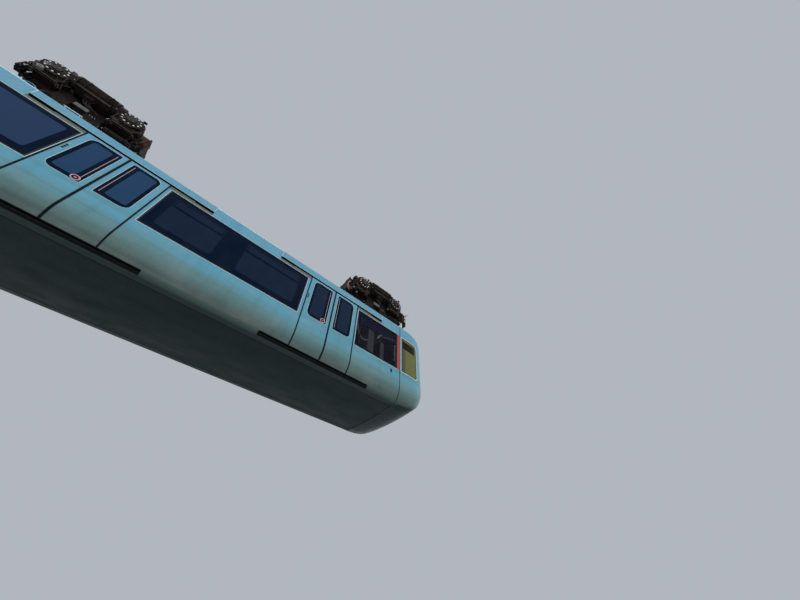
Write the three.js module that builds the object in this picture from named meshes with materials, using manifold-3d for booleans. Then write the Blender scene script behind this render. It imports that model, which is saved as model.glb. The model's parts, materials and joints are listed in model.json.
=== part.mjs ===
// Suspended articulated monorail car: three body sections under four rail bogies.
// Millimetres. X runs forward to the driver's cab, -Y is the door side, Z is up.
// The origin is on the rail head, under the wheels' treads, halfway along the car.

import * as THREE from 'three';
import { mergeVertices } from 'three/addons/utils/BufferGeometryUtils.js';
import Module from 'manifold-3d';

const wasm = await Module();
wasm.setup();

// Driving dimensions of the body
const CAR_LENGTH = 24060;
const HALF_WIDTH = 1100;
const GAP = 0.3;
const MID_HALF = 800;
const BELLOWS_LENGTH = 900;
const HINGE_X = MID_HALF + BELLOWS_LENGTH / 2;
const SECTION_START = MID_HALF + BELLOWS_LENGTH;
const SEAM_X = 10900;
const GLASS_T = 8;
const GLASS_INSET = 4;
const NOSE_LENGTH = CAR_LENGTH / 2 - SEAM_X + GLASS_INSET;

// Cross-section levels, seen from the rail head
const ROOF_CROWN_Z = -1075;
const ROOF_EDGE_Z = -1210;
const ROOF_EDGE_R = 60;
const DOOR_TOP_Z = -1412;
const WINDOW_TOP_Z = -1526;
const WINDOW_BOTTOM_Z = -2660;
const WINDOW_CORNER_R = 12;
const SIDE_ARC_TOP_Z = -3090;
const SIDE_ARC_R = 600;
const FLOOR_TOP_Z = -3435;
const CORNER_HALF_WIDTH = 920;
const BELLY_SAG = 66;
const BODY_CENTRE_Z = -2370;

const WALL_T = 60;
const WALL_TOP_Z = ROOF_EDGE_Z - GAP;
const WALL_BOTTOM_Z = FLOOR_TOP_Z + GAP;
const NOSE_T = 45;
const DOOR_T = 42;

// Openings of the door side, from the mid section outwards: first and last X
const DOORS = [
  { name: 'inner', from: 3450, meet: 4120, to: 4810 },
  { name: 'outer', from: 8020, meet: 8720, to: 9400 },
];
const DOOR_SIDE_WINDOWS = [
  { name: '3', from: 1960, to: 3420 },
  { name: '2', from: 4890, to: 7930 },
  { name: '1', from: 9450, to: 10800 },
];
const FAR_SIDE_WINDOWS = [
  { from: 1960, to: 4900 },
  { from: 4990, to: 7930 },
  { from: 8020, to: 10800 },
];
// Proud header over a doorway, with a sunk channel beside the leaves and a guide slot under them
const HEADER = { reach: 830, proud: 14, lap: 20, bottom: -1390 };
const CHANNEL = { depth: 35, bottom: -1450 };
const GUIDE_SLOT = { reach: 610, outer: -1000, inner: -930, top: -3457, bottom: -3497 };
const DOOR_WINDOW = { top: -1475, bottom: -2585, outerMargin: 110, meetMargin: 85, outerR: 120, meetR: 25 };
const DOOR_SEAM = 4;
const DOOR_MEET_GAP = 6;

// Nose: the section shrinks as a superellipse along X, with one exponent a direction
const NOSE_STATIONS = [0, 0.4, 0.62, 0.78, 0.88, 0.95, 0.99];
const NOSE_EXPONENT = { side: 3.8, bottom: 2.5, top: 3.1 };
const SIDE_NOSE_WINDOW = { from: 50, to: 655, top: -1550, bottom: -2670, r: 110 };
const WINDSCREEN = { halfWidth: 800, top: -1600, bottom: -2720, r: 180, behindSeam: 650 };
const LAMP = { y: 640, z: -2960, r: 95, proud: 8 };

// Bogies: pivots and wheels, with x taken from the pivot
const BOGIE_X = { inner: 2600, outer: 10520 };
const WHEEL_X = 668;
const WHEEL_R = 350;
const FLANGE_R = 372;
const AXLE_R = 55;
const PIVOT_R = 90;
const PIVOT_TOP_Z = -860;
const ARM_BOTTOM_Z = -1050;
const ARM_TOP_Z = -800;

function material(name, colour, roughness, metalness, opacity = 1) {
  const made = new THREE.MeshStandardMaterial({ color: colour, roughness, metalness });
  made.name = name;
  made.transparent = opacity < 1;
  made.opacity = opacity;
  return made;
}

const PAINT = () => material('body_paint', 0x7fb4bd, 0.35, 0.1);
const BELLY = () => material('belly_panel', 0x27343a, 0.45, 0.2);
const GLASS = () => material('tinted_glass', 0x16202c, 0.08, 0.0, 0.6);
const RUBBER = () => material('black_rubber', 0x1b1c1d, 0.8, 0.0);
const IRON = () => material('bogie_iron', 0x2c231d, 0.75, 0.6);
const DRIVE = () => material('drive_casing', 0x4b4640, 0.6, 0.7);
const WHEEL = () => material('wheel_steel', 0x6f6a64, 0.4, 0.9);
const SEATING = () => material('seat_shell', 0x30363c, 0.7, 0.0);

// Solids from three.js geometry and back
function solid(geometry) {
  const bare = geometry.index ? geometry.clone() : geometry;
  for (const key of Object.keys(bare.attributes)) {
    if (key !== 'position') bare.deleteAttribute(key);
  }
  const merged = mergeVertices(bare, 1e-3);
  const vertProperties = new Float32Array(merged.attributes.position.array);
  const triVerts = new Uint32Array(merged.index.array);
  return new wasm.Manifold(new wasm.Mesh({ numProp: 3, vertProperties, triVerts }));
}

function geometryOf(body) {
  const mesh = body.getMesh();
  const geometry = new THREE.BufferGeometry();
  geometry.setAttribute('position', new THREE.BufferAttribute(Float32Array.from(mesh.vertProperties), 3));
  geometry.setIndex(new THREE.BufferAttribute(Uint32Array.from(mesh.triVerts), 1));
  geometry.computeVertexNormals();
  return geometry;
}

function join(bodies) {
  return bodies.reduce((all, one) => all.add(one));
}

function cut(body, cutters) {
  return cutters.reduce((left, cutter) => left.subtract(cutter), body);
}

function box(x0, x1, y0, y1, z0, z1) {
  const geometry = new THREE.BoxGeometry(x1 - x0, y1 - y0, z1 - z0);
  geometry.translate((x0 + x1) / 2, (y0 + y1) / 2, (z0 + z1) / 2);
  return solid(geometry);
}

function polygon(points) {
  return new THREE.Shape(points.map(([a, b]) => new THREE.Vector2(a, b)));
}

function extrude(shape, depth, basis, offset, curveSegments = 2) {
  const geometry = new THREE.ExtrudeGeometry(shape, { depth, bevelEnabled: false, steps: 1, curveSegments });
  geometry.applyMatrix4(basis);
  geometry.translate(...offset);
  return solid(geometry);
}

const ALONG_X = new THREE.Matrix4().makeBasis(
  new THREE.Vector3(0, 1, 0), new THREE.Vector3(0, 0, 1), new THREE.Vector3(1, 0, 0));
const ALONG_Y = new THREE.Matrix4().makeBasis(
  new THREE.Vector3(1, 0, 0), new THREE.Vector3(0, 0, 1), new THREE.Vector3(0, -1, 0));

// A (y, z) shape drawn out along X, an (x, z) shape along Y
const prismX = (shape, x0, x1) => extrude(shape, x1 - x0, ALONG_X, [x0, 0, 0]);
const prismY = (shape, y0, y1) => extrude(shape, y1 - y0, ALONG_Y, [0, y1, 0]);

function roundedRect(a0, a1, b0, b1, radii) {
  const [r00, r10, r11, r01] = Array.isArray(radii) ? radii : [radii, radii, radii, radii];
  const shape = new THREE.Shape();
  shape.moveTo(a0 + r00, b0);
  shape.lineTo(a1 - r10, b0);
  shape.absarc(a1 - r10, b0 + r10, r10, -Math.PI / 2, 0, false);
  shape.lineTo(a1, b1 - r11);
  shape.absarc(a1 - r11, b1 - r11, r11, 0, Math.PI / 2, false);
  shape.lineTo(a0 + r01, b1);
  shape.absarc(a0 + r01, b1 - r01, r01, Math.PI / 2, Math.PI, false);
  shape.lineTo(a0, b0 + r00);
  shape.absarc(a0 + r00, b0 + r00, r00, Math.PI, Math.PI * 1.5, false);
  return shape;
}

function cylinder(axis, r, from, to, a, b, segments = 20) {
  const geometry = new THREE.CylinderGeometry(r, r, to - from, segments);
  const middle = (from + to) / 2;
  if (axis === 'x') {
    geometry.rotateZ(-Math.PI / 2);
    geometry.translate(middle, a, b);
  } else if (axis === 'y') {
    geometry.translate(a, middle, b);
  } else {
    geometry.rotateX(Math.PI / 2);
    geometry.translate(a, b, middle);
  }
  return solid(geometry);
}

// Half-width of the body's outer skin at a height, moved in by an inset
function halfWidthAt(z, inset = 0) {
  if (z >= SIDE_ARC_TOP_Z) return HALF_WIDTH - inset;
  const r = SIDE_ARC_R - inset;
  const drop = z - SIDE_ARC_TOP_Z;
  return HALF_WIDTH - SIDE_ARC_R + Math.sqrt(Math.max(0, r * r - drop * drop));
}

const CORNER_Z = SIDE_ARC_TOP_Z - Math.sqrt(SIDE_ARC_R ** 2 - (CORNER_HALF_WIDTH - HALF_WIDTH + SIDE_ARC_R) ** 2);

function steps(from, to, count) {
  return Array.from({ length: count + 1 }, (_, i) => from + ((to - from) * i) / count);
}

// The side skin from the roof edge down to a lowest level
function sideLine(inset, lowest, arcSteps = 4) {
  const arc = steps(SIDE_ARC_TOP_Z, lowest, arcSteps).map((z) => [halfWidthAt(z, inset), z]);
  return [[HALF_WIDTH - inset, ROOF_EDGE_Z], ...arc];
}

// The roof from one edge over the crown to the other
function roofLine(inset) {
  const r = ROOF_EDGE_R - inset * 0.5;
  const centre = HALF_WIDTH - inset - r;
  const shoulder = [0, 0.5, 1].map((t) => [
    centre + r * Math.cos((t * Math.PI) / 2),
    ROOF_EDGE_Z + r * Math.sin((t * Math.PI) / 2),
  ]);
  const shoulderZ = ROOF_EDGE_Z + r;
  const crown = steps(0.5, 0, 1).map((t) => [
    centre * t, ROOF_CROWN_Z - inset - (ROOF_CROWN_Z - inset - shoulderZ) * t * t,
  ]);
  const right = [...shoulder, ...crown];
  const left = right.slice(0, -1).reverse().map(([y, z]) => [-y, z]);
  return [...right, ...left];
}

function bellyLine(inset) {
  const half = CORNER_HALF_WIDTH - inset;
  return steps(-1, 1, 4).map((t) => [half * t, CORNER_Z + inset - BELLY_SAG * (1 - t * t)]);
}

// The whole closed outline of the body, counter-clockwise seen from the front
function bodyOutline(inset) {
  const side = sideLine(inset, CORNER_Z + inset, 3);
  const roof = roofLine(inset);
  const belly = bellyLine(inset);
  const right = side.slice(1, -1).reverse();
  const left = right.map(([y, z]) => [-y, z]).reverse();
  return [...belly, ...right, ...roof, ...left];
}

// The room inside walls and roof, above the floor
function roomOutline(inset) {
  const right = sideLine(inset, WALL_BOTTOM_Z).slice(1).reverse();
  const left = right.map(([y, z]) => [-y, z]).reverse();
  return [...right, ...roofLine(inset), ...left];
}

// A closed solid through rings of equal point count, ended by flat or pointed caps
function loft(rings, tip) {
  const count = rings[0].length;
  const positions = rings.flat(2);
  const index = [];
  for (let i = 0; i + 1 < rings.length; i += 1) {
    for (let j = 0; j < count; j += 1) {
      const k = (j + 1) % count;
      const a = i * count + j;
      const b = i * count + k;
      const c = (i + 1) * count + k;
      const d = (i + 1) * count + j;
      index.push(a, b, c, a, c, d);
    }
  }
  const last = rings.length - 1;
  const centreOf = (ring) => [0, 1, 2].map((k) => ring.reduce((sum, p) => sum + p[k], 0) / count);
  const startCentre = positions.length / 3;
  positions.push(...centreOf(rings[0]));
  const endCentre = positions.length / 3;
  positions.push(...(tip ?? centreOf(rings[last])));
  for (let j = 0; j < count; j += 1) {
    const k = (j + 1) % count;
    index.push(startCentre, k, j);
    index.push(endCentre, last * count + j, last * count + k);
  }
  const geometry = new THREE.BufferGeometry();
  geometry.setAttribute('position', new THREE.BufferAttribute(new Float32Array(positions), 3));
  geometry.setIndex(index);
  return solid(geometry);
}

// Outer volume of the nose, moved in by an inset
function noseVolume(inset) {
  const outline = bodyOutline(inset);
  const length = NOSE_LENGTH - inset;
  const shrink = (u, p) => (1 - u ** p) ** (1 / p);
  const ring = (u) => outline.map(([y, z]) => {
    const vertical = shrink(u, z < BODY_CENTRE_Z ? NOSE_EXPONENT.bottom : NOSE_EXPONENT.top);
    return [
      SEAM_X + GAP + length * u,
      y * shrink(u, NOSE_EXPONENT.side),
      BODY_CENTRE_Z + (z - BODY_CENTRE_Z) * vertical,
    ];
  });
  return loft(NOSE_STATIONS.map(ring), [SEAM_X + length, 0, BODY_CENTRE_Z]);
}

const FAR = 4000;

// Nose cutters, each shrunk by a margin for the pane that fills it
function windscreenCutter(margin) {
  const { halfWidth, top, bottom, r } = WINDSCREEN;
  const shape = roundedRect(-halfWidth + margin, halfWidth - margin, bottom + margin, top - margin, r);
  return prismX(shape, SEAM_X + WINDSCREEN.behindSeam, SEAM_X + FAR);
}

function sideNoseCutter(side, margin) {
  const { from, to, top, bottom, r } = SIDE_NOSE_WINDOW;
  const shape = roundedRect(
    SEAM_X + from + margin, SEAM_X + to - margin, bottom + margin, top - margin, [40, r, r, 40]);
  return side < 0 ? prismY(shape, -FAR, -300) : prismY(shape, 300, FAR);
}

// Lamp bodies that stand a little proud of the nose
function noseLamps() {
  const sleeve = ([-1, 1]).map((s) => cylinder('x', LAMP.r, SEAM_X + 300, SEAM_X + FAR, s * LAMP.y, LAMP.z, 16));
  return noseVolume(-LAMP.proud).subtract(noseVolume(NOSE_T)).intersect(join(sleeve));
}

function noseShell() {
  const hollow = noseVolume(NOSE_T).add(box(SEAM_X - 50, SEAM_X + 60, -900, 900, -3400, -1300));
  const seamCut = prismX(polygon(bodyOutline(NOSE_T)), SEAM_X - 50, SEAM_X + 5);
  const openings = [windscreenCutter(0), sideNoseCutter(-1, 0), sideNoseCutter(1, 0)];
  const shell = cut(noseVolume(0), [hollow, seamCut, ...openings]);
  return shell.add(noseLamps());
}

function nosePane(cutter) {
  const skin = noseVolume(GLASS_INSET).subtract(noseVolume(GLASS_INSET + GLASS_T));
  return skin.intersect(cutter);
}

// Body panels: a section from x0 to x1, mirrored for the rear by its node
function floorPanel(x0, x1) {
  const outer = sideLine(0, CORNER_Z, 6).filter(([, z]) => z < FLOOR_TOP_Z);
  const right = [[halfWidthAt(FLOOR_TOP_Z), FLOOR_TOP_Z], ...outer.slice(0, -1)];
  const left = right.map(([y, z]) => [-y, z]);
  const belly = bellyLine(0);
  return prismX(polygon([...belly, ...right.reverse(), ...left]), x0, x1);
}

function roofPanel(x0, x1) {
  const outer = roofLine(0);
  const inner = roofLine(WALL_T).reverse();
  return prismX(polygon([...outer, ...inner]), x0, x1);
}

// One side wall on the +Y side
function wallBand(inset, depth, x0, x1, top, bottom) {
  const outer = sideLine(inset, bottom);
  const inner = sideLine(inset + depth, bottom).reverse();
  const trim = ([y, z]) => [y, Math.min(z, top)];
  return prismX(polygon([...outer.map(trim), ...inner.map(trim)]), x0, x1);
}

function mirrorY(body) {
  return body.mirror([0, 1, 0]);
}

function sideWall(x0, x1) {
  return wallBand(0, WALL_T, x0, x1, WALL_TOP_Z, WALL_BOTTOM_Z);
}

function windowCutter(window, margin) {
  const shape = roundedRect(
    window.from + margin, window.to - margin, WINDOW_BOTTOM_Z + margin, WINDOW_TOP_Z - margin,
    WINDOW_CORNER_R);
  return prismY(shape, -FAR, FAR);
}

function windowPane(window) {
  const margin = GAP;
  const shape = roundedRect(
    window.from + margin, window.to - margin, WINDOW_BOTTOM_Z + margin, WINDOW_TOP_Z - margin,
    WINDOW_CORNER_R);
  return prismY(shape, -HALF_WIDTH + GLASS_INSET, -HALF_WIDTH + GLASS_INSET + GLASS_T);
}

function doorCutter(door) {
  return box(door.from, door.to, -FAR, FAR, FLOOR_TOP_Z - 50, DOOR_TOP_Z);
}

function doorHeader(door) {
  const { reach, proud, lap, bottom } = HEADER;
  return box(door.from - reach, door.to + reach, -HALF_WIDTH - proud, -HALF_WIDTH + lap, bottom, WALL_TOP_Z);
}

function doorChannel(door) {
  return box(door.from - HEADER.reach, door.to + HEADER.reach, -FAR, -HALF_WIDTH + CHANNEL.depth,
    CHANNEL.bottom, HEADER.bottom);
}

function doorLeaf(door, side) {
  const x0 = side === 'a' ? door.from + DOOR_SEAM : door.meet + DOOR_MEET_GAP / 2;
  const x1 = side === 'a' ? door.meet - DOOR_MEET_GAP / 2 : door.to - DOOR_SEAM;
  const band = mirrorY(wallBand(1, DOOR_T, x0, x1, DOOR_TOP_Z - DOOR_SEAM, WALL_BOTTOM_Z));
  const w = DOOR_WINDOW;
  const from = side === 'a' ? x0 + w.outerMargin : x0 + w.meetMargin;
  const to = side === 'a' ? x1 - w.meetMargin : x1 - w.outerMargin;
  const radii = side === 'a' ? [w.outerR, w.meetR, w.meetR, w.outerR] : [w.meetR, w.outerR, w.outerR, w.meetR];
  const opening = prismY(roundedRect(from, to, w.bottom, w.top, radii), -FAR, -HALF_WIDTH + GLASS_INSET);
  const recess = prismY(roundedRect(from, to, w.bottom, w.top, radii), -HALF_WIDTH + GLASS_INSET + GLASS_T, 0);
  return cut(band, [opening, recess]);
}

// Interior fittings, with heights taken from the floor
const SEAT_ROWS = [
  { x: 2150, facing: 1 }, { x: 3350, facing: -1 }, { x: 4250, facing: 1 }, { x: 5450, facing: -1 },
  { x: 6050, facing: 1 }, { x: 7250, facing: -1 }, { x: 7900, facing: 1 }, { x: 9000, facing: -1 },
];
const SEAT_SINGLES = [{ x: 5300, facing: 1 }, { x: 6500, facing: -1 }, { x: 7300, facing: 1 }];
const FAR_SEATS = { y: 570, width: 860, railY: 250, from: 1920, to: 9250, halfPlinth: 90 };
const NEAR_SEATS = { y: -740, width: 430, railY: -600, from: 5100, to: 7600, halfPlinth: 70 };
const SEAT = { depth: 440, under: 400, cushion: 460, back: 60, top: 950, halfFoot: 60 };
const PLINTH_TOP = 90;
const POLES = [{ x: 3240, y: 0 }, { x: 5000, y: -430 }, { x: 7720, y: -430 }, { x: 8720, y: 0 }];
const POLE_R = 17;
const HANDRAIL = { z: -1430, half: 22, far: [2100, 9200], near: [4900, 7800] };

// Cushion and back in one folded shell over a foot
function seat(x, row, facing) {
  const { depth, under, cushion, back, top, halfFoot } = SEAT;
  const at = (along, height) => [x + facing * along, FLOOR_TOP_Z + height];
  const shell = polygon([
    at(depth / 2, under), at(depth / 2, cushion), at(-depth / 2 + back / 2, cushion), at(-depth / 2 + back / 2, top),
    at(-depth / 2 - back / 2, top), at(-depth / 2 - back / 2, under)]);
  const foot = box(x - halfFoot, x + halfFoot, row.y - halfFoot, row.y + halfFoot,
    FLOOR_TOP_Z + PLINTH_TOP - 10, FLOOR_TOP_Z + under + 10);
  return prismY(shell, row.y - row.width / 2, row.y + row.width / 2).add(foot);
}

function seating() {
  const floorZ = FLOOR_TOP_Z + GAP;
  const { z, half, far, near } = HANDRAIL;
  const railX = ([x0, x1], y) => box(x0, x1, y - half, y + half, z - half, z + half);
  const railY = (x) => box(x - half, x + half, NEAR_SEATS.railY - 60, FAR_SEATS.railY + 60, z - half, z + half);
  const plinth = ({ y, from, to, halfPlinth }) =>
    box(from, to, y - halfPlinth, y + halfPlinth, floorZ, FLOOR_TOP_Z + PLINTH_TOP);
  const pole = (x, y, foot) => cylinder('z', POLE_R, foot, z, x, y, 8);
  const overSeat = (single, row) =>
    pole(single.x + SEAT.depth / 2, row.railY, FLOOR_TOP_Z + SEAT.under + 20);
  return join([
    plinth(FAR_SEATS),
    plinth(NEAR_SEATS),
    railX(far, FAR_SEATS.railY),
    railX(near, NEAR_SEATS.railY),
    ...SEAT_ROWS.map((row) => seat(row.x, FAR_SEATS, row.facing)),
    ...SEAT_SINGLES.map((single) => seat(single.x, NEAR_SEATS, single.facing)),
    ...POLES.map(({ x, y }) => pole(x, y, floorZ)),
    ...POLES.map(({ x }) => railY(x)),
    overSeat(SEAT_ROWS[1], FAR_SEATS),
    overSeat(SEAT_SINGLES[1], NEAR_SEATS),
  ]);
}

const CAB_WALL = { x: 9600, t: 30, doorHalf: 350, doorTop: -1600 };
const CAB_PLATE = { to: 10850, half: 700, t: 25 };
const DESK = { x0: 10550, footX0: 10650, x1: 10850, half: 850, footHalf: 650, under: 650, top: 820 };
const CHAIR = {
  x: 10170, footR: 60, half: 250, seat: [9950, 10400], back: [9900, 10000], under: 460, top: 560, backTop: 1150,
};

function driverCab() {
  const { x, t, doorHalf, doorTop } = CAB_WALL;
  const plateTop = FLOOR_TOP_Z + CAB_PLATE.t;
  const room = prismX(polygon(roomOutline(WALL_T + GAP)), x, x + t);
  const wall = room.intersect(box(x, x + t, -HALF_WIDTH, HALF_WIDTH, FLOOR_TOP_Z + GAP, ROOF_CROWN_Z));
  const doorway = box(x - t, x + 2 * t, -doorHalf, doorHalf, plateTop, doorTop);
  const plate = box(x, CAB_PLATE.to, -CAB_PLATE.half, CAB_PLATE.half, FLOOR_TOP_Z + GAP, plateTop);
  const desk = box(DESK.x0, DESK.x1, -DESK.half, DESK.half, FLOOR_TOP_Z + DESK.under, FLOOR_TOP_Z + DESK.top);
  const underDesk = FLOOR_TOP_Z + DESK.under + 50;
  const deskFoot = box(DESK.footX0, DESK.x1, -DESK.footHalf, DESK.footHalf, plateTop - 15, underDesk);
  const chair = [
    box(...CHAIR.seat, -CHAIR.half, CHAIR.half, FLOOR_TOP_Z + CHAIR.under, FLOOR_TOP_Z + CHAIR.top),
    box(...CHAIR.back, -CHAIR.half, CHAIR.half, FLOOR_TOP_Z + CHAIR.under, FLOOR_TOP_Z + CHAIR.backTop),
    cylinder('z', CHAIR.footR, plateTop - 15, FLOOR_TOP_Z + CHAIR.under + 20, CHAIR.x, 0, 12),
  ];
  return join([cut(wall, [doorway]), plate, desk, deskFoot, ...chair]);
}

// Gangway: a round plate on the mid section turns in a round bay of the end section
const GANGWAY_R = 640;
const PLATE_T = 24;
const TONGUE_T = 55;
const HINGE_PIN = { r: 60, play: 0.9, below: 6 };
const TONGUE_HALF = 150;

function gangwayPlate() {
  const disc = cylinder('z', GANGWAY_R, FLOOR_TOP_Z - PLATE_T, FLOOR_TOP_Z, HINGE_X, 0, 40);
  const bridge = box(MID_HALF - 50, HINGE_X, -GANGWAY_R, GANGWAY_R, FLOOR_TOP_Z - PLATE_T, FLOOR_TOP_Z);
  const pinFoot = FLOOR_TOP_Z - PLATE_T - TONGUE_T - HINGE_PIN.below;
  const pin = cylinder('z', HINGE_PIN.r, pinFoot, FLOOR_TOP_Z - 5, HINGE_X, 0, 24);
  return join([disc, bridge, pin]);
}

function gangwayBay() {
  return cylinder('z', GANGWAY_R + 8, FLOOR_TOP_Z - PLATE_T - GAP, FLOOR_TOP_Z + 50, HINGE_X, 0, 40);
}

function gangwayTongue() {
  const top = FLOOR_TOP_Z - PLATE_T - GAP;
  const bar = box(HINGE_X, SECTION_START + 50, -TONGUE_HALF, TONGUE_HALF, top - TONGUE_T, top);
  const eye = cylinder('z', TONGUE_HALF, top - TONGUE_T, top, HINGE_X, 0, 24);
  const hole = cylinder('z', HINGE_PIN.r + HINGE_PIN.play, top - 2 * TONGUE_T, top + 50, HINGE_X, 0, 24);
  return bar.add(eye).subtract(hole);
}

function sectionFloor() {
  const body = floorPanel(SECTION_START, SEAM_X - GAP);
  const { reach, outer, inner, top, bottom } = GUIDE_SLOT;
  const slots = DOORS.map((door) => box(door.from - reach, door.to + reach, outer, inner, bottom, top));
  return cut(body, [gangwayBay(), ...slots]).add(gangwayTongue());
}

const PIVOT_PLATE_R = 260;
// Hooded vent at the roof edge, beside the inner bogie
const COWL = { x: 2460, r: 95, t: 14, y0: -1070, y1: -850, z: -1185 };

function roofCowl() {
  const hood = cylinder('y', COWL.r, COWL.y0, COWL.y1, COWL.x, COWL.z, 16);
  const hollow = cylinder('y', COWL.r - COWL.t, COWL.y0 - 10, COWL.y1 - COWL.t, COWL.x, COWL.z, 16);
  return hood.subtract(hollow);
}

function sectionRoof() {
  const pivots = Object.values(BOGIE_X).map((x) => join([
    cylinder('z', PIVOT_PLATE_R, ROOF_CROWN_Z - 40, ARM_BOTTOM_Z - GAP, x, 0),
    cylinder('z', PIVOT_R, ROOF_CROWN_Z - 40, PIVOT_TOP_Z, x, 0),
  ]));
  const above = roofCowl().subtract(prismX(polygon(bodyOutline(WALL_T / 2)), SECTION_START, SEAM_X));
  return join([roofPanel(SECTION_START, SEAM_X - GAP), above, ...pivots]);
}

function doorSideWall() {
  const wall = mirrorY(sideWall(SECTION_START, SEAM_X - GAP));
  const openings = [...DOORS.map(doorCutter), ...DOOR_SIDE_WINDOWS.map((w) => windowCutter(w, 0))];
  const opened = cut(wall, [...openings, ...DOORS.map(doorChannel)]);
  return join([opened, ...DOORS.map(doorHeader)]);
}

// The far side has one band of glass let into the wall, over the pillars
const FAR_BAND = { from: FAR_SIDE_WINDOWS[0].from, to: FAR_SIDE_WINDOWS[FAR_SIDE_WINDOWS.length - 1].to };
const BAND_LAP = 30;

function farSideWall() {
  const wall = sideWall(SECTION_START, SEAM_X - GAP);
  const rebate = windowCutter(FAR_BAND, 0)
    .intersect(box(0, CAR_LENGTH, HALF_WIDTH - GLASS_INSET - GLASS_T - GAP, FAR, -FAR, 0));
  return cut(wall, [rebate, ...FAR_SIDE_WINDOWS.map((w) => windowCutter(w, BAND_LAP))]);
}

function farSideGlass() {
  return mirrorY(windowPane(FAR_BAND));
}

// Bellows between two sections: folds of one outline, hollow inside
const BELLOWS_FOLDS = 5;
const FOLD_DEPTH = 30;

function bellows() {
  const x0 = MID_HALF + GAP;
  const x1 = SECTION_START - GAP;
  const ringAt = (inset) => (x, i) => bodyOutline(inset + (i % 2 ? FOLD_DEPTH : 0)).map(([y, z]) => [x, y, z]);
  const xs = steps(x0, x1, BELLOWS_FOLDS * 2);
  const outer = loft(xs.map(ringAt(8)));
  const inner = loft(steps(x0 - 5, x1 + 5, BELLOWS_FOLDS * 2).map((x, i) =>
    bodyOutline(20 + (i % 2 ? FOLD_DEPTH : 0)).map(([y, z]) => [x, y, z])));
  return outer.subtract(inner);
}

// Mid section panels
const MID_WINDOW = { from: -560, to: 560 };

function midFloor() {
  const body = floorPanel(-MID_HALF, MID_HALF);
  const plate = gangwayPlate();
  return join([body, plate, plate.mirror([1, 0, 0])]);
}

// Bogie pieces, with x taken from the pivot
const BEAM = { y0: -330, y1: -120, z0: 130, z1: 520 };
const SHEET = { y0: 120, y1: 180, z0: 200, z1: 500 };
const BOGIE_HALF = 1046;
const END_PLATE = { t: 28, margin: 18 };
const MIDDLE_TIE_HALF = 90;
const TIE_Z = [220, 480];
const HANGER = { y0: -329, y1: -288, top: 140, halfTop: 960, endBottom: -30, halfWaist: 430, waist: -430 };
const LEG = { y0: -420, halfTop: 400, halfFoot: 420, holeTop: 130, holeFoot: 150, tie: [-80, 60] };
const SWEEP = { x0: 925, x1: 1030, y0: -415, y1: -320, z0: -80, z1: 230 };
const GUARD = { reach: 1400, y0: -300, y1: -150, armZ: [200, 300], plateZ: [30, 380], t: 24 };

// Rail clearer of the outermost bogies, on their outer end
function railGuard() {
  const { reach, y0, y1, armZ, plateZ, t } = GUARD;
  const arm = box(BOGIE_HALF - 20, reach - t, y0 + 40, y1 - 40, armZ[0], armZ[1]);
  const brace = prismY(polygon([
    [BOGIE_HALF - 20, armZ[1] - 10],
    [BOGIE_HALF + 150, armZ[1] - 10],
    [BOGIE_HALF - 20, armZ[1] + 140],
  ]), y0 + 60, y1 - 60);
  const plate = box(reach - t, reach, y0, y1, plateZ[0], plateZ[1]);
  return join([arm, brace, plate]);
}

function bogieFrame(guardSide = 0) {
  const beam = box(-BOGIE_HALF, BOGIE_HALF, BEAM.y0, BEAM.y1, BEAM.z0, BEAM.z1);
  const sheet = box(-BOGIE_HALF - END_PLATE.t, BOGIE_HALF + END_PLATE.t, SHEET.y0, SHEET.y1, SHEET.z0, SHEET.z1);
  const tie = (x0, x1) => box(x0, x1, BEAM.y1 - 20, SHEET.y0 + 20, ...TIE_Z);
  const tip = BOGIE_HALF + END_PLATE.t;
  const ties = [tie(-tip, -BOGIE_HALF), tie(-MIDDLE_TIE_HALF, MIDDLE_TIE_HALF), tie(BOGIE_HALF, tip)];
  const m = END_PLATE.margin;
  const ends = [-1, 1].map((s) => box(
    Math.min(s * BOGIE_HALF, s * tip), Math.max(s * BOGIE_HALF, s * tip),
    BEAM.y0 - m, BEAM.y1 + m, BEAM.z0 - m, BEAM.z1 + m));
  const sweeps = [-1, 1].map((s) => box(
    Math.min(s * SWEEP.x0, s * SWEEP.x1), Math.max(s * SWEEP.x0, s * SWEEP.x1),
    SWEEP.y0, SWEEP.y1, SWEEP.z0, SWEEP.z1));
  const { y0, y1, top, halfTop, endBottom, halfWaist, waist } = HANGER;
  const hanger = prismY(polygon([
    [halfTop, top], [-halfTop, top], [-halfTop, endBottom], [-halfWaist, waist],
    [-LEG.halfFoot, ARM_BOTTOM_Z], [LEG.halfFoot, ARM_BOTTOM_Z], [halfWaist, waist], [halfTop, endBottom]]), y0, y1);
  const legs = prismY(polygon([
    [LEG.halfTop, top],
    [-LEG.halfTop, top],
    [-LEG.halfFoot, ARM_BOTTOM_Z],
    [LEG.halfFoot, ARM_BOTTOM_Z],
  ]), LEG.y0, y1);
  const light = (z0, z1) => prismY(polygon([
    [LEG.holeTop, z1], [-LEG.holeTop, z1], [-LEG.holeFoot, z0], [LEG.holeFoot, z0]]), LEG.y0 - 50, y1 + 50);
  const holes = [light(ARM_TOP_Z + 60, LEG.tie[0]), light(LEG.tie[1], top - 30)];
  const arm = box(-LEG.halfFoot, LEG.halfFoot, LEG.y0, 200, ARM_BOTTOM_Z, ARM_TOP_Z);
  const axles = [-WHEEL_X, WHEEL_X].map((x) => cylinder('y', AXLE_R + 1.5, -500, 500, x, WHEEL_R, 16));
  const bore = cylinder('z', PIVOT_R + 2, ARM_BOTTOM_Z - 50, PIVOT_TOP_Z + GAP, 0, 0, 32);
  const guard = guardSide ? [guardSide > 0 ? railGuard() : railGuard().mirror([1, 0, 0])] : [];
  const plates = cut(hanger.add(legs), holes);
  return cut(join([beam, sheet, ...ties, ...ends, ...sweeps, plates, arm, ...guard]), [...axles, bore]);
}

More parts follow.
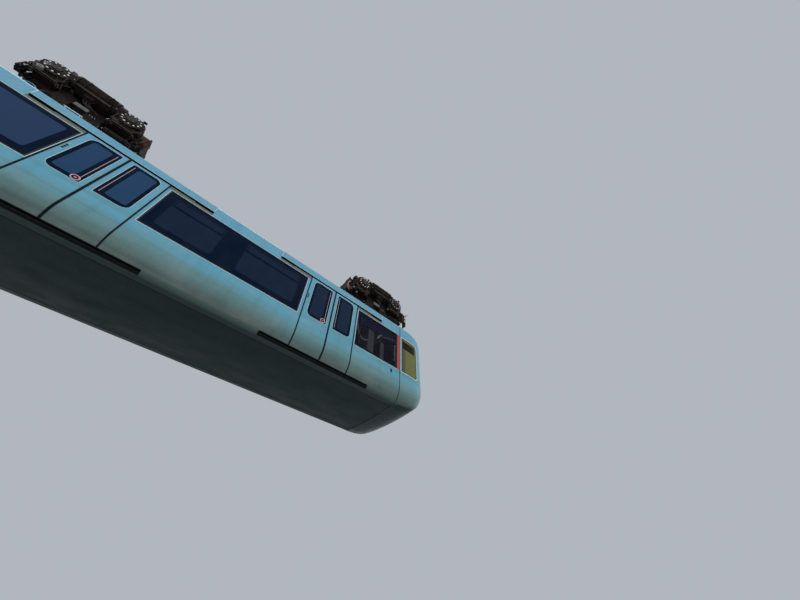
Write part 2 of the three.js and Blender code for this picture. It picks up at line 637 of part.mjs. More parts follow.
const CASE = { y0: -560, r: 250, bottom: 70, chamfer: 60 };
const CASE_COVER = { y0: -600, r: 225 };
const HUB_CAP = { y0: -632, r: 85 };
const CASE_RIB = { half: 225, height: 24, width: 22, ys: [-520, -450, -380] };
const HOOK = { x0: 108, x1: 175, foot: 540, z: 635, t: 22, y0: -600, y1: -545 };
const BRAKE = {
  x: -935, r: 55, y0: -500, zs: [520, 330], bracket: [-950, -820], bracketY: -390, bracketZ: [300, 550],
};
const MOTOR = { y: -520, z: 460, r: 148, finR: 176, fins: 16, half: 330, flange: 36, flangeR: 180, reach: 480 };
const MOTOR_BASE = { half: 300, y0: -640, z0: 245, z1: 292 };
const JUNCTION = { x0: -110, x1: 60, y0: -570, y1: -400, z0: 152, z1: 250 };

// Case round an axle end: half round above, flat and ribbed below
function gearCase(x) {
  const shape = new THREE.Shape();
  const { y0, r, bottom, chamfer } = CASE;
  shape.moveTo(x + r - chamfer, bottom);
  shape.lineTo(x + r, bottom + chamfer);
  shape.lineTo(x + r, WHEEL_R);
  shape.absarc(x, WHEEL_R, r, 0, Math.PI, false);
  shape.lineTo(x - r, bottom + chamfer);
  shape.lineTo(x - r + chamfer, bottom);
  const innerY = BEAM.y0 - GAP;
  const hook = prismY(polygon([
    [x + HOOK.x0, HOOK.foot], [x + HOOK.x0 + HOOK.t, HOOK.foot], [x + HOOK.x0 + HOOK.t, HOOK.z - HOOK.t],
    [x + HOOK.x1, HOOK.z - HOOK.t], [x + HOOK.x1, HOOK.z], [x + HOOK.x0, HOOK.z]]), HOOK.y0, HOOK.y1);
  return join([
    extrude(shape, innerY - y0, ALONG_Y, [0, innerY, 0], 5),
    cylinder('y', CASE_COVER.r, CASE_COVER.y0, y0 + 10, x, WHEEL_R, 18),
    cylinder('y', HUB_CAP.r, HUB_CAP.y0, CASE_COVER.y0 + 10, x, WHEEL_R, 14),
    ...CASE_RIB.ys.map((y) => box(x - CASE_RIB.half + chamfer, x + CASE_RIB.half - chamfer,
      y - CASE_RIB.width / 2, y + CASE_RIB.width / 2, bottom - CASE_RIB.height, bottom + 10)),
    hook,
  ]);
}

// Lengthwise motor: a finned drum between two flanges
function motor() {
  const { y, z, r, finR, fins, half, flange, flangeR, reach } = MOTOR;
  const outline = Array.from({ length: fins * 2 }, (_, i) => {
    const angle = (i * Math.PI) / fins;
    const radius = i % 2 ? finR : r;
    return [y + radius * Math.cos(angle), z + radius * Math.sin(angle)];
  });
  return join([
    cylinder('x', r, -reach, reach, y, z, 16),
    prismX(polygon(outline), -half, half),
    cylinder('x', flangeR, -half - flange, -half, y, z, 16),
    cylinder('x', flangeR, half, half + flange, y, z, 16),
  ]);
}

function bogieDrive() {
  const base = box(-MOTOR_BASE.half, MOTOR_BASE.half, MOTOR_BASE.y0, BEAM.y0 - GAP, MOTOR_BASE.z0, MOTOR_BASE.z1);
  const { x0, x1, y0, y1, z0, z1 } = JUNCTION;
  const { bracket, bracketY, bracketZ } = BRAKE;
  const brakes = [
    ...BRAKE.zs.map((z) => cylinder('y', BRAKE.r, BRAKE.y0, bracketY + 20, BRAKE.x, z, 10)),
    box(bracket[0], bracket[1], bracketY, BEAM.y0 - GAP, bracketZ[0], bracketZ[1]),
  ];
  return join([gearCase(-WHEEL_X), gearCase(WHEEL_X), motor(), base, box(x0, x1, y0, y1, z0, z1), ...brakes]);
}

// Double-flanged wheel with its axle, turned about Y
function wheel() {
  const profile = [
    [0, -200], [AXLE_R, -200], [AXLE_R, -68], [FLANGE_R, -68], [FLANGE_R, -52], [WHEEL_R, -42],
    [WHEEL_R, 42], [FLANGE_R, 52], [FLANGE_R, 68], [AXLE_R, 68], [AXLE_R, 175], [0, 175],
  ];
  return solid(new THREE.LatheGeometry(profile.map(([r, y]) => new THREE.Vector2(r, y)), 24));
}

// Assembly
const car = new THREE.Group();

function place(name, body, made, x = 0, y = 0, z = 0) {
  const mesh = new THREE.Mesh(geometryOf(body), made);
  mesh.name = name;
  mesh.position.set(x, y, z);
  car.add(mesh);
}

// The rear end is the front end seen in a mirror across X
for (const end of ['front', 'rear']) {
  const turned = (body) => (end === 'front' ? body : body.mirror([1, 0, 0]));
  const add = (name, body, made) => place(`${end}_${name}`, turned(body), made);
  add('floor', sectionFloor(), BELLY());
  add('roof', sectionRoof(), PAINT());
  add('door_side_wall', doorSideWall(), PAINT());
  add('far_side_wall', farSideWall(), PAINT());
  add('end_cap', noseShell(), PAINT());
  add('end_window', nosePane(windscreenCutter(GAP)), GLASS());
  add('cap_window_door_side', nosePane(sideNoseCutter(-1, GAP)), GLASS());
  add('cap_window_far_side', nosePane(sideNoseCutter(1, GAP)), GLASS());
  for (const window of DOOR_SIDE_WINDOWS) add(`window_${window.name}`, windowPane(window), GLASS());
  add('far_side_windows', farSideGlass(), GLASS());
  for (const door of DOORS) {
    add(`door_${door.name}_leaf_a`, doorLeaf(door, 'a'), PAINT());
    add(`door_${door.name}_leaf_b`, doorLeaf(door, 'b'), PAINT());
  }
  add('seats_and_poles', seating(), SEATING());
}
place('front_driver_cab', driverCab(), SEATING());

place('mid_floor', midFloor(), BELLY());
place('mid_roof', roofPanel(-MID_HALF, MID_HALF), PAINT());
place('mid_door_side_wall', cut(mirrorY(sideWall(-MID_HALF, MID_HALF)), [windowCutter(MID_WINDOW, 0)]), PAINT());
place('mid_far_side_wall', cut(sideWall(-MID_HALF, MID_HALF), [windowCutter(MID_WINDOW, 0)]), PAINT());
place('mid_window_door_side', windowPane(MID_WINDOW), GLASS());
place('mid_window_far_side', mirrorY(windowPane(MID_WINDOW)), GLASS());

place('bellows_front', bellows(), RUBBER());
place('bellows_rear', bellows().mirror([1, 0, 0]), RUBBER());

// Bogies are numbered from the cab backwards
const BOGIES = [BOGIE_X.outer, BOGIE_X.inner, -BOGIE_X.inner, -BOGIE_X.outer];
BOGIES.forEach((x, i) => {
  const name = `bogie_${i + 1}`;
  const guardSide = Math.abs(x) === BOGIE_X.outer ? Math.sign(x) : 0;
  place(`${name}_frame`, bogieFrame(guardSide), IRON(), x);
  place(`${name}_drive`, bogieDrive(), DRIVE(), x);
  place(`${name}_wheel_front`, wheel(), WHEEL(), x + WHEEL_X, 0, WHEEL_R);
  place(`${name}_wheel_rear`, wheel(), WHEEL(), x - WHEEL_X, 0, WHEEL_R);
});

export default car;
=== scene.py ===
"""Looks of the hanging monorail car: paint, glass, seams, borders, bogie fittings and gangway folds."""
import json
from math import atan2, cos, pi, radians, sin, sqrt

import bpy
from mathutils import Matrix, Vector


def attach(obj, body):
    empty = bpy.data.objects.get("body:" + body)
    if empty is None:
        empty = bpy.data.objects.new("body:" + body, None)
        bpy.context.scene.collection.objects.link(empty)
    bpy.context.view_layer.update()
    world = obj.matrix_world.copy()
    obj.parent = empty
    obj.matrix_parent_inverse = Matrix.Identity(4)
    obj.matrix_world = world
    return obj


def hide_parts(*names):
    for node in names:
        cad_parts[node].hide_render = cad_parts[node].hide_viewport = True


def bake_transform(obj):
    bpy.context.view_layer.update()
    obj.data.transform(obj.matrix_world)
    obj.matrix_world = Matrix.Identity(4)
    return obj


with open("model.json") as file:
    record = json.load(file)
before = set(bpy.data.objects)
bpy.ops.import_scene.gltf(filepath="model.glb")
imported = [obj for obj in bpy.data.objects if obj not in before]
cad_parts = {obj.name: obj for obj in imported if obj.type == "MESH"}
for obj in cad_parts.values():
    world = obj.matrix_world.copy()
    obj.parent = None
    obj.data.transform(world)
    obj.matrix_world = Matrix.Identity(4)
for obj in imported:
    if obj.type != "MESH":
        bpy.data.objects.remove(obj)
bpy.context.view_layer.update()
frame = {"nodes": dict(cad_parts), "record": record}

# Driving sizes in metres, as in the CAD source: X forward, -Y the door side, Z up, rail head at zero
HALF_WIDTH = 1.1
ROOF_CROWN_Z = -1.075
ROOF_EDGE_Z = -1.21
ROOF_EDGE_R = 0.06
DOOR_TOP_Z = -1.412
WINDOW_TOP_Z = -1.526
WINDOW_BOTTOM_Z = -2.66
SIDE_ARC_TOP_Z = -3.09
SIDE_ARC_R = 0.6
FLOOR_TOP_Z = -3.435
CORNER_HALF_WIDTH = 0.92
BELLY_SAG = 0.066
SEAM_X = 10.9
SECTION_START = 1.7
MID_HALF = 0.8
DOORS = [
    {"name": "inner", "from": 3.45, "meet": 4.12, "to": 4.81},
    {"name": "outer", "from": 8.02, "meet": 8.72, "to": 9.4},
]
WINDOWS = {"3": (1.96, 3.42), "2": (4.89, 7.93), "1": (9.45, 10.8)}
BOGIE_X = [10.52, 2.6, -2.6, -10.52]
WHEEL_X = 0.668
AXLE_Z = 0.35
ENDS = {"front": 1, "rear": -1}
SIDES = {"door_side": -1, "far_side": 1}
OUTWARD = (0, -1, 0)
UP = (0, 0, 1)
DOWN = (0, 0, -1)
AHEAD = (1, 0, 0)

# Camera at floor level under the car
CAMERA_PLACE = Vector((6.24, -6.0, -7.48))
CAMERA_AZIMUTH = 46.4462
CAMERA_ELEVATION = 47.7354
CAMERA_ROLL = 0.252
CAMERA_LENS = 14.538
FLOOR_Z = CAMERA_PLACE.z - 0.07


def add_camera():
    azimuth, elevation, roll = (radians(d) for d in (CAMERA_AZIMUTH, CAMERA_ELEVATION, CAMERA_ROLL))
    flat = cos(elevation)
    forward = Vector((flat * cos(azimuth), flat * sin(azimuth), sin(elevation)))
    level = forward.cross(Vector(UP)).normalized()
    upright = level.cross(forward)
    right = level * cos(roll) + upright * sin(roll)
    up = upright * cos(roll) - level * sin(roll)
    data = bpy.data.cameras.new("camera")
    data.lens = CAMERA_LENS
    data.sensor_width = 36
    data.clip_end = 200
    camera = bpy.data.objects.new("camera", data)
    axes = Matrix((right, up, -forward)).transposed()
    camera.matrix_world = Matrix.Translation(CAMERA_PLACE) @ axes.to_4x4()
    bpy.context.collection.objects.link(camera)
    bpy.context.scene.camera = camera


add_camera()


# Material helpers
class Nodes:
    """One material's node tree, with short calls for the nodes used here."""

    def __init__(self, name, **values):
        self.material = bpy.data.materials.new(name)
        self.material.use_nodes = True
        self.tree = self.material.node_tree
        self.shader = self.tree.nodes["Principled BSDF"]
        for key, value in values.items():
            self.shader.inputs[key.replace("_", " ").title().replace("Ior", "IOR")].default_value = value

    def node(self, kind, **inputs):
        made = self.tree.nodes.new(kind)
        for key, value in inputs.items():
            self.feed(value, made.inputs[key.replace("_", " ")])
        return made

    def feed(self, value, socket):
        if isinstance(value, bpy.types.NodeSocket):
            self.tree.links.new(value, socket)
        else:
            socket.default_value = value

    def axis(self, letter, source=None):
        """One coordinate in the car's frame, or of another vector."""
        vector = source or self.node("ShaderNodeTexCoord").outputs["Object"]
        return self.node("ShaderNodeSeparateXYZ", Vector=vector).outputs[letter]

    def facing(self, letter):
        """How far a face points along an axis."""
        return self.axis(letter, self.node("ShaderNodeNewGeometry").outputs["Normal"])

    def place(self, stretch=(1, 1, 1)):
        """Metres in the car's frame, stretched along each axis."""
        coordinates = self.node("ShaderNodeTexCoord").outputs["Object"]
        return self.node("ShaderNodeMapping", Vector=coordinates, Scale=stretch).outputs["Vector"]

    def noise(self, scale, detail=4.0, stretch=(1, 1, 1)):
        return self.node("ShaderNodeTexNoise", Vector=self.place(stretch), Scale=scale, Detail=detail,
                         Roughness=0.55).outputs["Fac"]

    def cells(self, scale):
        return self.node("ShaderNodeTexVoronoi", Vector=self.place(), Scale=scale).outputs["Distance"]

    def ramp(self, value, *stops):
        made = self.node("ShaderNodeValToRGB", Fac=value)
        elements = made.color_ramp.elements
        while len(elements) < len(stops):
            elements.new(0.5)
        for element, (at, colour) in zip(elements, stops):
            element.position = at
            element.color = (*colour, 1)
        return made.outputs["Color"]

    def span(self, value, low, high, to_low=0.0, to_high=1.0):
        return self.node("ShaderNodeMapRange", Value=value, From_Min=low, From_Max=high, To_Min=to_low,
                         To_Max=to_high).outputs["Result"]

    def spots(self, scale, detail, low, high, to_low=0.0, to_high=1.0, stretch=(1, 1, 1)):
        """Noise whose range from low to high is spread over another range."""
        return self.span(self.noise(scale, detail, stretch), low, high, to_low, to_high)

    def mix(self, factor, first, second, blend="MIX"):
        made = self.tree.nodes.new("ShaderNodeMix")
        made.data_type = "RGBA"
        made.blend_type = blend
        self.feed(factor, made.inputs[0])
        for value, socket in ((first, made.inputs[6]), (second, made.inputs[7])):
            self.feed((*value, 1) if isinstance(value, tuple) else value, socket)
        return made.outputs[2]

    def sum(self, first, second, operation="ADD"):
        made = self.node("ShaderNodeMath")
        made.operation = operation
        self.feed(first, made.inputs[0])
        self.feed(second, made.inputs[1])
        return made.outputs[0]

    def times(self, first, second):
        return self.sum(first, second, "MULTIPLY")

    def finish(self, colour, roughness, bumps):
        """Links colour and roughness, and stacks bumps given as (height, strength, metres)."""
        self.feed(colour, self.shader.inputs["Base Color"])
        self.feed(roughness, self.shader.inputs["Roughness"])
        normal = None
        for height, strength, distance in bumps:
            made = self.node("ShaderNodeBump", Height=height, Strength=strength, Distance=distance)
            if normal is not None:
                self.feed(normal, made.inputs["Normal"])
            normal = made.outputs["Normal"]
        self.feed(normal, self.shader.inputs["Normal"])
        return self.material


PAINT_TOP = (0.096, 0.305, 0.44)
PAINT_MIDDLE = (0.089, 0.312, 0.42)
# Lower colours and slate: painted shade of the same paint down the tumblehome and underneath
SHADED_PAINT_LOW = (0.1, 0.225, 0.235)
SHADED_PAINT_FOOT = (0.05, 0.08, 0.075)
SHADED_SLATE = (0.012, 0.023, 0.026)
DUST = (0.33, 0.33, 0.28)
# Olive: painted reflection of the ground on the lower side and where the belly turns up
OLIVE_REFLECTION = (0.095, 0.155, 0.13)


def body_paint():
    """Pale blue-green paint with rain streaks and fine dirt, darker down the tumblehome and on faces that
    point down as painted shade, with olive bands there as painted reflection.
    """
    made = Nodes("body_paint", metallic=0.0, coat_weight=0.35, coat_roughness=0.12)
    wander = made.spots(0.8, 3, 0, 1, -0.09, 0.09, (1, 1, 0.4))
    level = made.sum(made.axis("Z"), wander)
    # Colour by height, darker towards the bottom as painted shade
    colour = made.ramp(made.span(level, -3.6, -1.0), (0.0, SHADED_SLATE), (0.08, SHADED_PAINT_FOOT), (0.19, SHADED_PAINT_LOW),
                       (0.3, PAINT_MIDDLE), (1.0, PAINT_TOP))
    # Horizontal olive bands low on the side: painted reflection
    reflection_bands = made.spots(2.4, 5, 0.42, 0.68, stretch=(0.12, 0.5, 3.2))
    low_down = made.span(level, -1.9, -3.15, 0.0, 0.6)
    colour = made.mix(made.times(reflection_bands, low_down), colour, OLIVE_REFLECTION)
    streaks = made.spots(6, 5, 0.5, 0.8, 0, 0.22, (1.6, 1, 0.12))
    colour = made.mix(streaks, colour, DUST, "MULTIPLY")
    under = made.span(made.facing("Z"), -0.55, -0.85)
    made.feed(made.span(under, 0, 1, 0.35, 0.0), made.shader.inputs["Coat Weight"])
    made.feed(made.span(under, 0, 1, 0.4, 0.1), made.shader.inputs["Specular IOR Level"])
    blotches = made.spots(2.2, 6, 0.45, 0.75, 0, 0.16)
    # Faces that point down turn slate: painted shade
    colour = made.mix(under, made.mix(blotches, colour, DUST), SHADED_SLATE)
    roughness = made.spots(9, 6, 0.3, 0.7, 0.22, 0.4)
    waves = (made.noise(1.1, 2, (1, 1, 0.5)), 0.12, 0.05)
    return made.finish(colour, roughness, [waves, (made.noise(420, 2), 0.05, 0.001)])


def belly_panel():
    """Dark slate underside as painted shade, with road film and specks; paler at its edges as painted light,
    and olive up the side as painted reflection.
    """
    made = Nodes("belly_panel", metallic=0.0, specular_ior_level=0.12)
    film = made.spots(1.3, 6, 0.35, 0.7, stretch=(0.35, 1, 1))
    # Dark slate base: painted shade under the body, in two tones that vary at random
    colour = made.mix(film, (0.0085, 0.0195, 0.0215), (0.013, 0.025, 0.027))
    across = made.axis("Y")
    square = made.times(across, across)
    # Paler band along the belly's edges: painted light where it turns up to the side
    colour = made.mix(made.span(square, 0.63, 0.66, 0, 0.8), colour, (0.03, 0.048, 0.044))
    # Olive where the belly turns up into the side: painted reflection
    rise = made.times(made.span(made.axis("Z"), -3.52, -3.43, 0, 0.65), made.span(square, 0.8, 0.84))
    colour = made.mix(rise, colour, OLIVE_REFLECTION)
    specks = made.spots(34, 3, 0.62, 0.75, 0, 0.5)
    colour = made.mix(specks, colour, (0.07, 0.08, 0.075))
    roughness = made.spots(4, 5, 0.3, 0.7, 0.32, 0.6, (0.4, 1, 1))
    waves = (made.noise(2.0, 2, (0.3, 1, 1)), 0.15, 0.03)
    return made.finish(colour, roughness, [waves, (made.noise(240, 3), 0.08, 0.001)])


def glass(name, tint, alpha, specular=0.22):
    """Tinted pane with a faint dust film and slight waviness."""
    made = Nodes(name, metallic=0.0, alpha=alpha, specular_ior_level=specular)
    film = made.spots(5, 6, 0.4, 0.8, 0, 0.25, (1, 1, 0.5))
    colour = made.mix(film, tint, tuple(0.6 * c + 0.02 for c in tint))
    roughness = made.spots(12, 4, 0.3, 0.7, 0.03, 0.09)
    return made.finish(colour, roughness, [(made.noise(1.4, 1), 0.05, 0.02)])


def bright_steel(name, shade, rough, grime):
    """Rubbed steel with scoring, brown stain, and brake dust on the faces that point sideways."""
    made = Nodes(name, metallic=0.95)
    stain = made.spots(12, 7, 0.5, 0.72, 0, 0.75)
    colour = made.mix(stain, (shade, shade * 0.97, shade * 0.93), (0.11, 0.07, 0.045))
    sideways = made.facing("Y")
    dusty = made.span(made.times(sideways, sideways), 0.45, 0.78, 0, grime)
    patches = made.times(dusty, made.spots(9, 6, 0.3, 0.65, 0.6, 1.0))
    colour = made.mix(patches, colour, (0.06, 0.045, 0.036))
    roughness = made.spots(40, 5, 0.3, 0.7, rough, rough + 0.25, (1, 8, 1))
    roughness = made.sum(roughness, made.times(patches, 0.25))
    return made.finish(colour, roughness, [(made.noise(160, 4, (1, 6, 1)), 0.2, 0.001)])


def stained(name, colour, stains, rough, grain, **values):
    """A colour under stains, with roughness from noise and a grain of bumps.

    A stain is (scale, detail, low, high, amount, colour), rough is (scale, detail, low, high), and each row
    of the grain is (scale, detail or None for cells, strength, metres).
    """
    made = Nodes(name, **values)
    for scale, detail, low, high, amount, stain in stains:
        colour = made.mix(made.spots(scale, detail, low, high, 0, amount), colour, stain)
    scale, detail, low, high = rough
    roughness = made.spots(scale, detail, 0.3, 0.7, low, high)
    return made.finish(colour, roughness, [
        (made.cells(scale) if detail is None else made.noise(scale, detail), strength, metres)
        for scale, detail, strength, metres in grain])


def rubber(name, shade):
    """Weathered black rubber with chalky dust in its pores."""
    chalk = (14, 6, 0.45, 0.75, 0.5, (0.045, 0.046, 0.045))
    return stained(name, (shade, shade, shade * 1.05), [chalk], (40, 3, 0.55, 0.85), [(300, 4, 0.25, 0.001)],
                   metallic=0.0)


def plain_paint(name, colour, rough=0.45, metal=0.0, dirt=0.3, dirt_colour=(0.05, 0.045, 0.04), specular=0.5):
    """A small painted part with its own dirt and orange peel."""
    return stained(name, colour, [(18, 7, 0.45, 0.78, dirt, dirt_colour)], (26, 5, rough - 0.1, rough + 0.15),
                   [(210, 3, 0.12, 0.001)], metallic=metal, specular_ior_level=specular)


PAINT = body_paint()
PALE_FRAME = plain_paint("pale_frame", (0.56, 0.66, 0.62), 0.4)
# Pale colour of the roof conduit, also used as painted highlight along edges
TRIM_AND_HIGHLIGHT = plain_paint("pale_trim_and_highlight", (0.44, 0.6, 0.62), 0.35)
# Dark grey-green with dirt: painted shade under the headers
GREY_STRIP = plain_paint("grey_strip", (0.11, 0.13, 0.105), 0.5, dirt=0.6)
RED = plain_paint("red_panel", (0.42, 0.045, 0.03), 0.35)
STICKER_PINK = plain_paint("sticker_pink", (0.6, 0.33, 0.35))
STICKER_RED = plain_paint("sticker_red", (0.4, 0.14, 0.15))
BELLY = belly_panel()
# Navy and blue tints: the glass's own dark tint with painted reflection of blue sky; the bluer copies for
# window 3 and the inner doors carry more painted sky reflection
NAVY_GLASS = glass("navy_glass", (0.006, 0.015, 0.036), 0.97, 0.08)
DUSK_GLASS = glass("dusk_glass", (0.014, 0.038, 0.095), 0.97, 0.15)
BLUE_GLASS = glass("blue_glass", (0.013, 0.05, 0.12), 0.93, 0.16)
DOOR_GLASS = glass("door_glass", (0.005, 0.016, 0.044), 0.9, 0.14)
CLEAR_GLASS = glass("clear_glass", (0.004, 0.005, 0.011), 0.44, 0.12)
# Olive tint of the cap's side windows: painted reflection of yellow-green surroundings
OLIVE_REFLECTION_GLASS = glass("olive_reflection_glass", (0.145, 0.15, 0.045), 0.92, 0.14)
FRIT = glass("window_border", (0.0006, 0.0062, 0.02), 1.0, 0.05)
BLIND = glass("blind", (0.011, 0.0105, 0.005), 1.0, 0.05)
OLIVE_POST = plain_paint("olive_post", (0.06, 0.058, 0.03), 0.4)
LENS = glass("lamp_lens", (0.55, 0.56, 0.55), 1.0)
TAIL_LENS = glass("tail_lens", (0.3, 0.01, 0.008), 1.0)
RUBBER = rubber("black_rubber", 0.012)
HOSE = rubber("hose_rubber", 0.016)
FOLD_RUBBER = rubber("fold_rubber", 0.02)
DARK = plain_paint("dark_recess", (0.003, 0.004, 0.0045), 0.6, dirt=0.12, specular=0.12)
OLIVE_SEAL = plain_paint("olive_seal", (0.05, 0.05, 0.022), 0.55, specular=0.2)
PINK_LINE = plain_paint("edge_strip", (0.36, 0.27, 0.29), 0.4)
# Near-black base: dark greasy iron, darkened further as painted shadow, under real rust and dust
IRON = stained(
    "bogie_iron", (0.0035, 0.003, 0.003),
    [(5, 8, 0.42, 0.62, 1, (0.017, 0.0075, 0.005)), (21, 8, 0.55, 0.72, 0.8, (0.04, 0.022, 0.015))],
    (30, 6, 0.35, 0.85), [(55, 8, 0.5, 0.006), (130, None, 0.25, 0.003)],
    metallic=0.3, specular_ior_level=0.3)
RUST_IRON = stained(
    "rust_iron", (0.01, 0.006, 0.004), [(9, 8, 0.38, 0.6, 1, (0.07, 0.025, 0.014))],
    (30, 6, 0.55, 0.9), [(60, 8, 0.5, 0.005)], metallic=0.2, specular_ior_level=0.3)
# Dark base and dark blotches: the casing's own dark colour, darkened further as painted shadow, under rust
CASING = stained(
    "drive_casing", (0.028, 0.02, 0.016),
    [(4, 7, 0.4, 0.65, 1, (0.005, 0.004, 0.004)), (13, 8, 0.54, 0.7, 0.85, (0.06, 0.024, 0.014))],
    (24, 6, 0.3, 0.75), [(70, 8, 0.45, 0.005), (190, None, 0.2, 0.002)],
    metallic=0.4, specular_ior_level=0.3)
# Warm brown of the rib edges: painted highlight
EDGE_HIGHLIGHT_BROWN = plain_paint("edge_highlight_brown", (0.15, 0.095, 0.065), 0.55, 0.2, 0.8)
PALE_PLATE = plain_paint("pale_plate", (0.2, 0.18, 0.165), 0.5, 0.2, 0.6)
DISC_PAINT = plain_paint("disc_paint", (0.24, 0.23, 0.22), 0.45, 0.3, 0.7)
COPPER = plain_paint("copper_line", (0.5, 0.2, 0.11), 0.35, 0.85, 0.7)
STEEL = bright_steel("wheel_steel", 0.42, 0.28, 1.0)
BRIGHT = bright_steel("rubbed_steel", 0.6, 0.2, 0.0)
SEATS = stained(
    "seat_shell", (0.028, 0.034, 0.042), [(8, 5, 0.45, 0.75, 1, (0.06, 0.066, 0.072))],
    (30, 4, 0.4, 0.65), [(700, None, 0.2, 0.0008)], metallic=0.0)
CAB_GREY = plain_paint("cab_grey", (0.3, 0.31, 0.32), 0.5)
# Near white of the cab fittings: painted reflection of bright structure in window 1
CAB_REFLECTION_WHITE = plain_paint("cab_reflection_white", (0.85, 0.83, 0.77), 0.4, dirt=0.1)
# Strong blue of the blind: painted reflection of sky in window 1
BLIND_SKY_REFLECTION = plain_paint("blind_sky_reflection", (0.02, 0.035, 0.18), 0.6)

# Materials of each slot, that of the CAD nodes first
SLOT_MATERIALS = {
    "body_paint": [PAINT, PALE_FRAME, TRIM_AND_HIGHLIGHT, GREY_STRIP, RED, STICKER_PINK, STICKER_RED],
    "belly_panel": [BELLY],
    "tinted_glass": [NAVY_GLASS, DUSK_GLASS, BLUE_GLASS, DOOR_GLASS, CLEAR_GLASS, OLIVE_REFLECTION_GLASS, FRIT, BLIND,
                     OLIVE_POST, LENS, TAIL_LENS],
    "black_rubber": [RUBBER, HOSE, FOLD_RUBBER, DARK, OLIVE_SEAL, PINK_LINE],
    "bogie_iron": [IRON, RUST_IRON],
    "drive_casing": [CASING, EDGE_HIGHLIGHT_BROWN, PALE_PLATE, DISC_PAINT, COPPER],
    "wheel_steel": [STEEL, BRIGHT],
    "seat_shell": [SEATS, CAB_GREY, CAB_REFLECTION_WHITE, BLIND_SKY_REFLECTION],
}
SLOT_OF = {material.name: slot for slot, materials in SLOT_MATERIALS.items() for material in materials}


def smooth_by_angle(angle=radians(32)):
    """A small geometry node group that keeps only edges sharper than an angle sharp."""
    group = bpy.data.node_groups.new("smooth_by_angle", "GeometryNodeTree")
    group.interface.new_socket("Geometry", in_out="INPUT", socket_type="NodeSocketGeometry")
    group.interface.new_socket("Geometry", in_out="OUTPUT", socket_type="NodeSocketGeometry")
    start, end, edge, compare, faces, edges = (group.nodes.new(kind) for kind in (
        "NodeGroupInput", "NodeGroupOutput", "GeometryNodeInputMeshEdgeAngle", "FunctionNodeCompare",
        "GeometryNodeSetShadeSmooth", "GeometryNodeSetShadeSmooth"))
    compare.operation = "LESS_THAN"
    compare.inputs[1].default_value = angle
    edges.domain = "EDGE"
    for source, target in (
            (edge.outputs["Unsigned Angle"], compare.inputs[0]),
            (start.outputs[0], faces.inputs["Geometry"]),
            (faces.outputs[0], edges.inputs["Geometry"]),
            (compare.outputs[0], edges.inputs["Shade Smooth"]),
            (edges.outputs[0], end.inputs[0])):
        group.links.new(source, target)
    return group


SMOOTH = smooth_by_angle()


def dress_cad_node(obj, material):
    obj.data.materials.clear()
    obj.data.materials.append(material)
    custom = obj.data.attributes.get("custom_normal")
    if custom is not None:
        obj.data.attributes.remove(custom)
    obj.modifiers.new("weld", "WELD").merge_threshold = 1e-5
    obj.modifiers.new("smooth", "NODES").node_group = SMOOTH


def glass_for(name):
    # Cap side windows get the olive glass of painted reflection
    if "cap_window" in name:
        return OLIVE_REFLECTION_GLASS
    if name.endswith(("_window_1", "end_window")):
        return CLEAR_GLASS
    if name.endswith("_window_3"):
        return DUSK_GLASS
    return NAVY_GLASS


for row in frame["record"]["subparts"]:
    slot = row["material_slot"]
    material = glass_for(row["node"]) if slot == "tinted_glass" else SLOT_MATERIALS[slot][0]
    dress_cad_node(frame["nodes"][row["node"]], material)


# Mesh helpers
def circle(count, start=0.0):
    """Angles evenly round a circle."""
    return [start + 2 * pi * i / count for i in range(count)]


def around(axis):
    """A unit axis and two directions square to it."""
    axis = Vector(axis).normalized()
    side = axis.orthogonal().normalized()
    return axis, side, axis.cross(side)


def ring_at(centre, side, other, radius, sides):
    """Points evenly round a centre."""
    return [centre + side * radius * cos(t) + other * radius * sin(t) for t in circle(sides)]


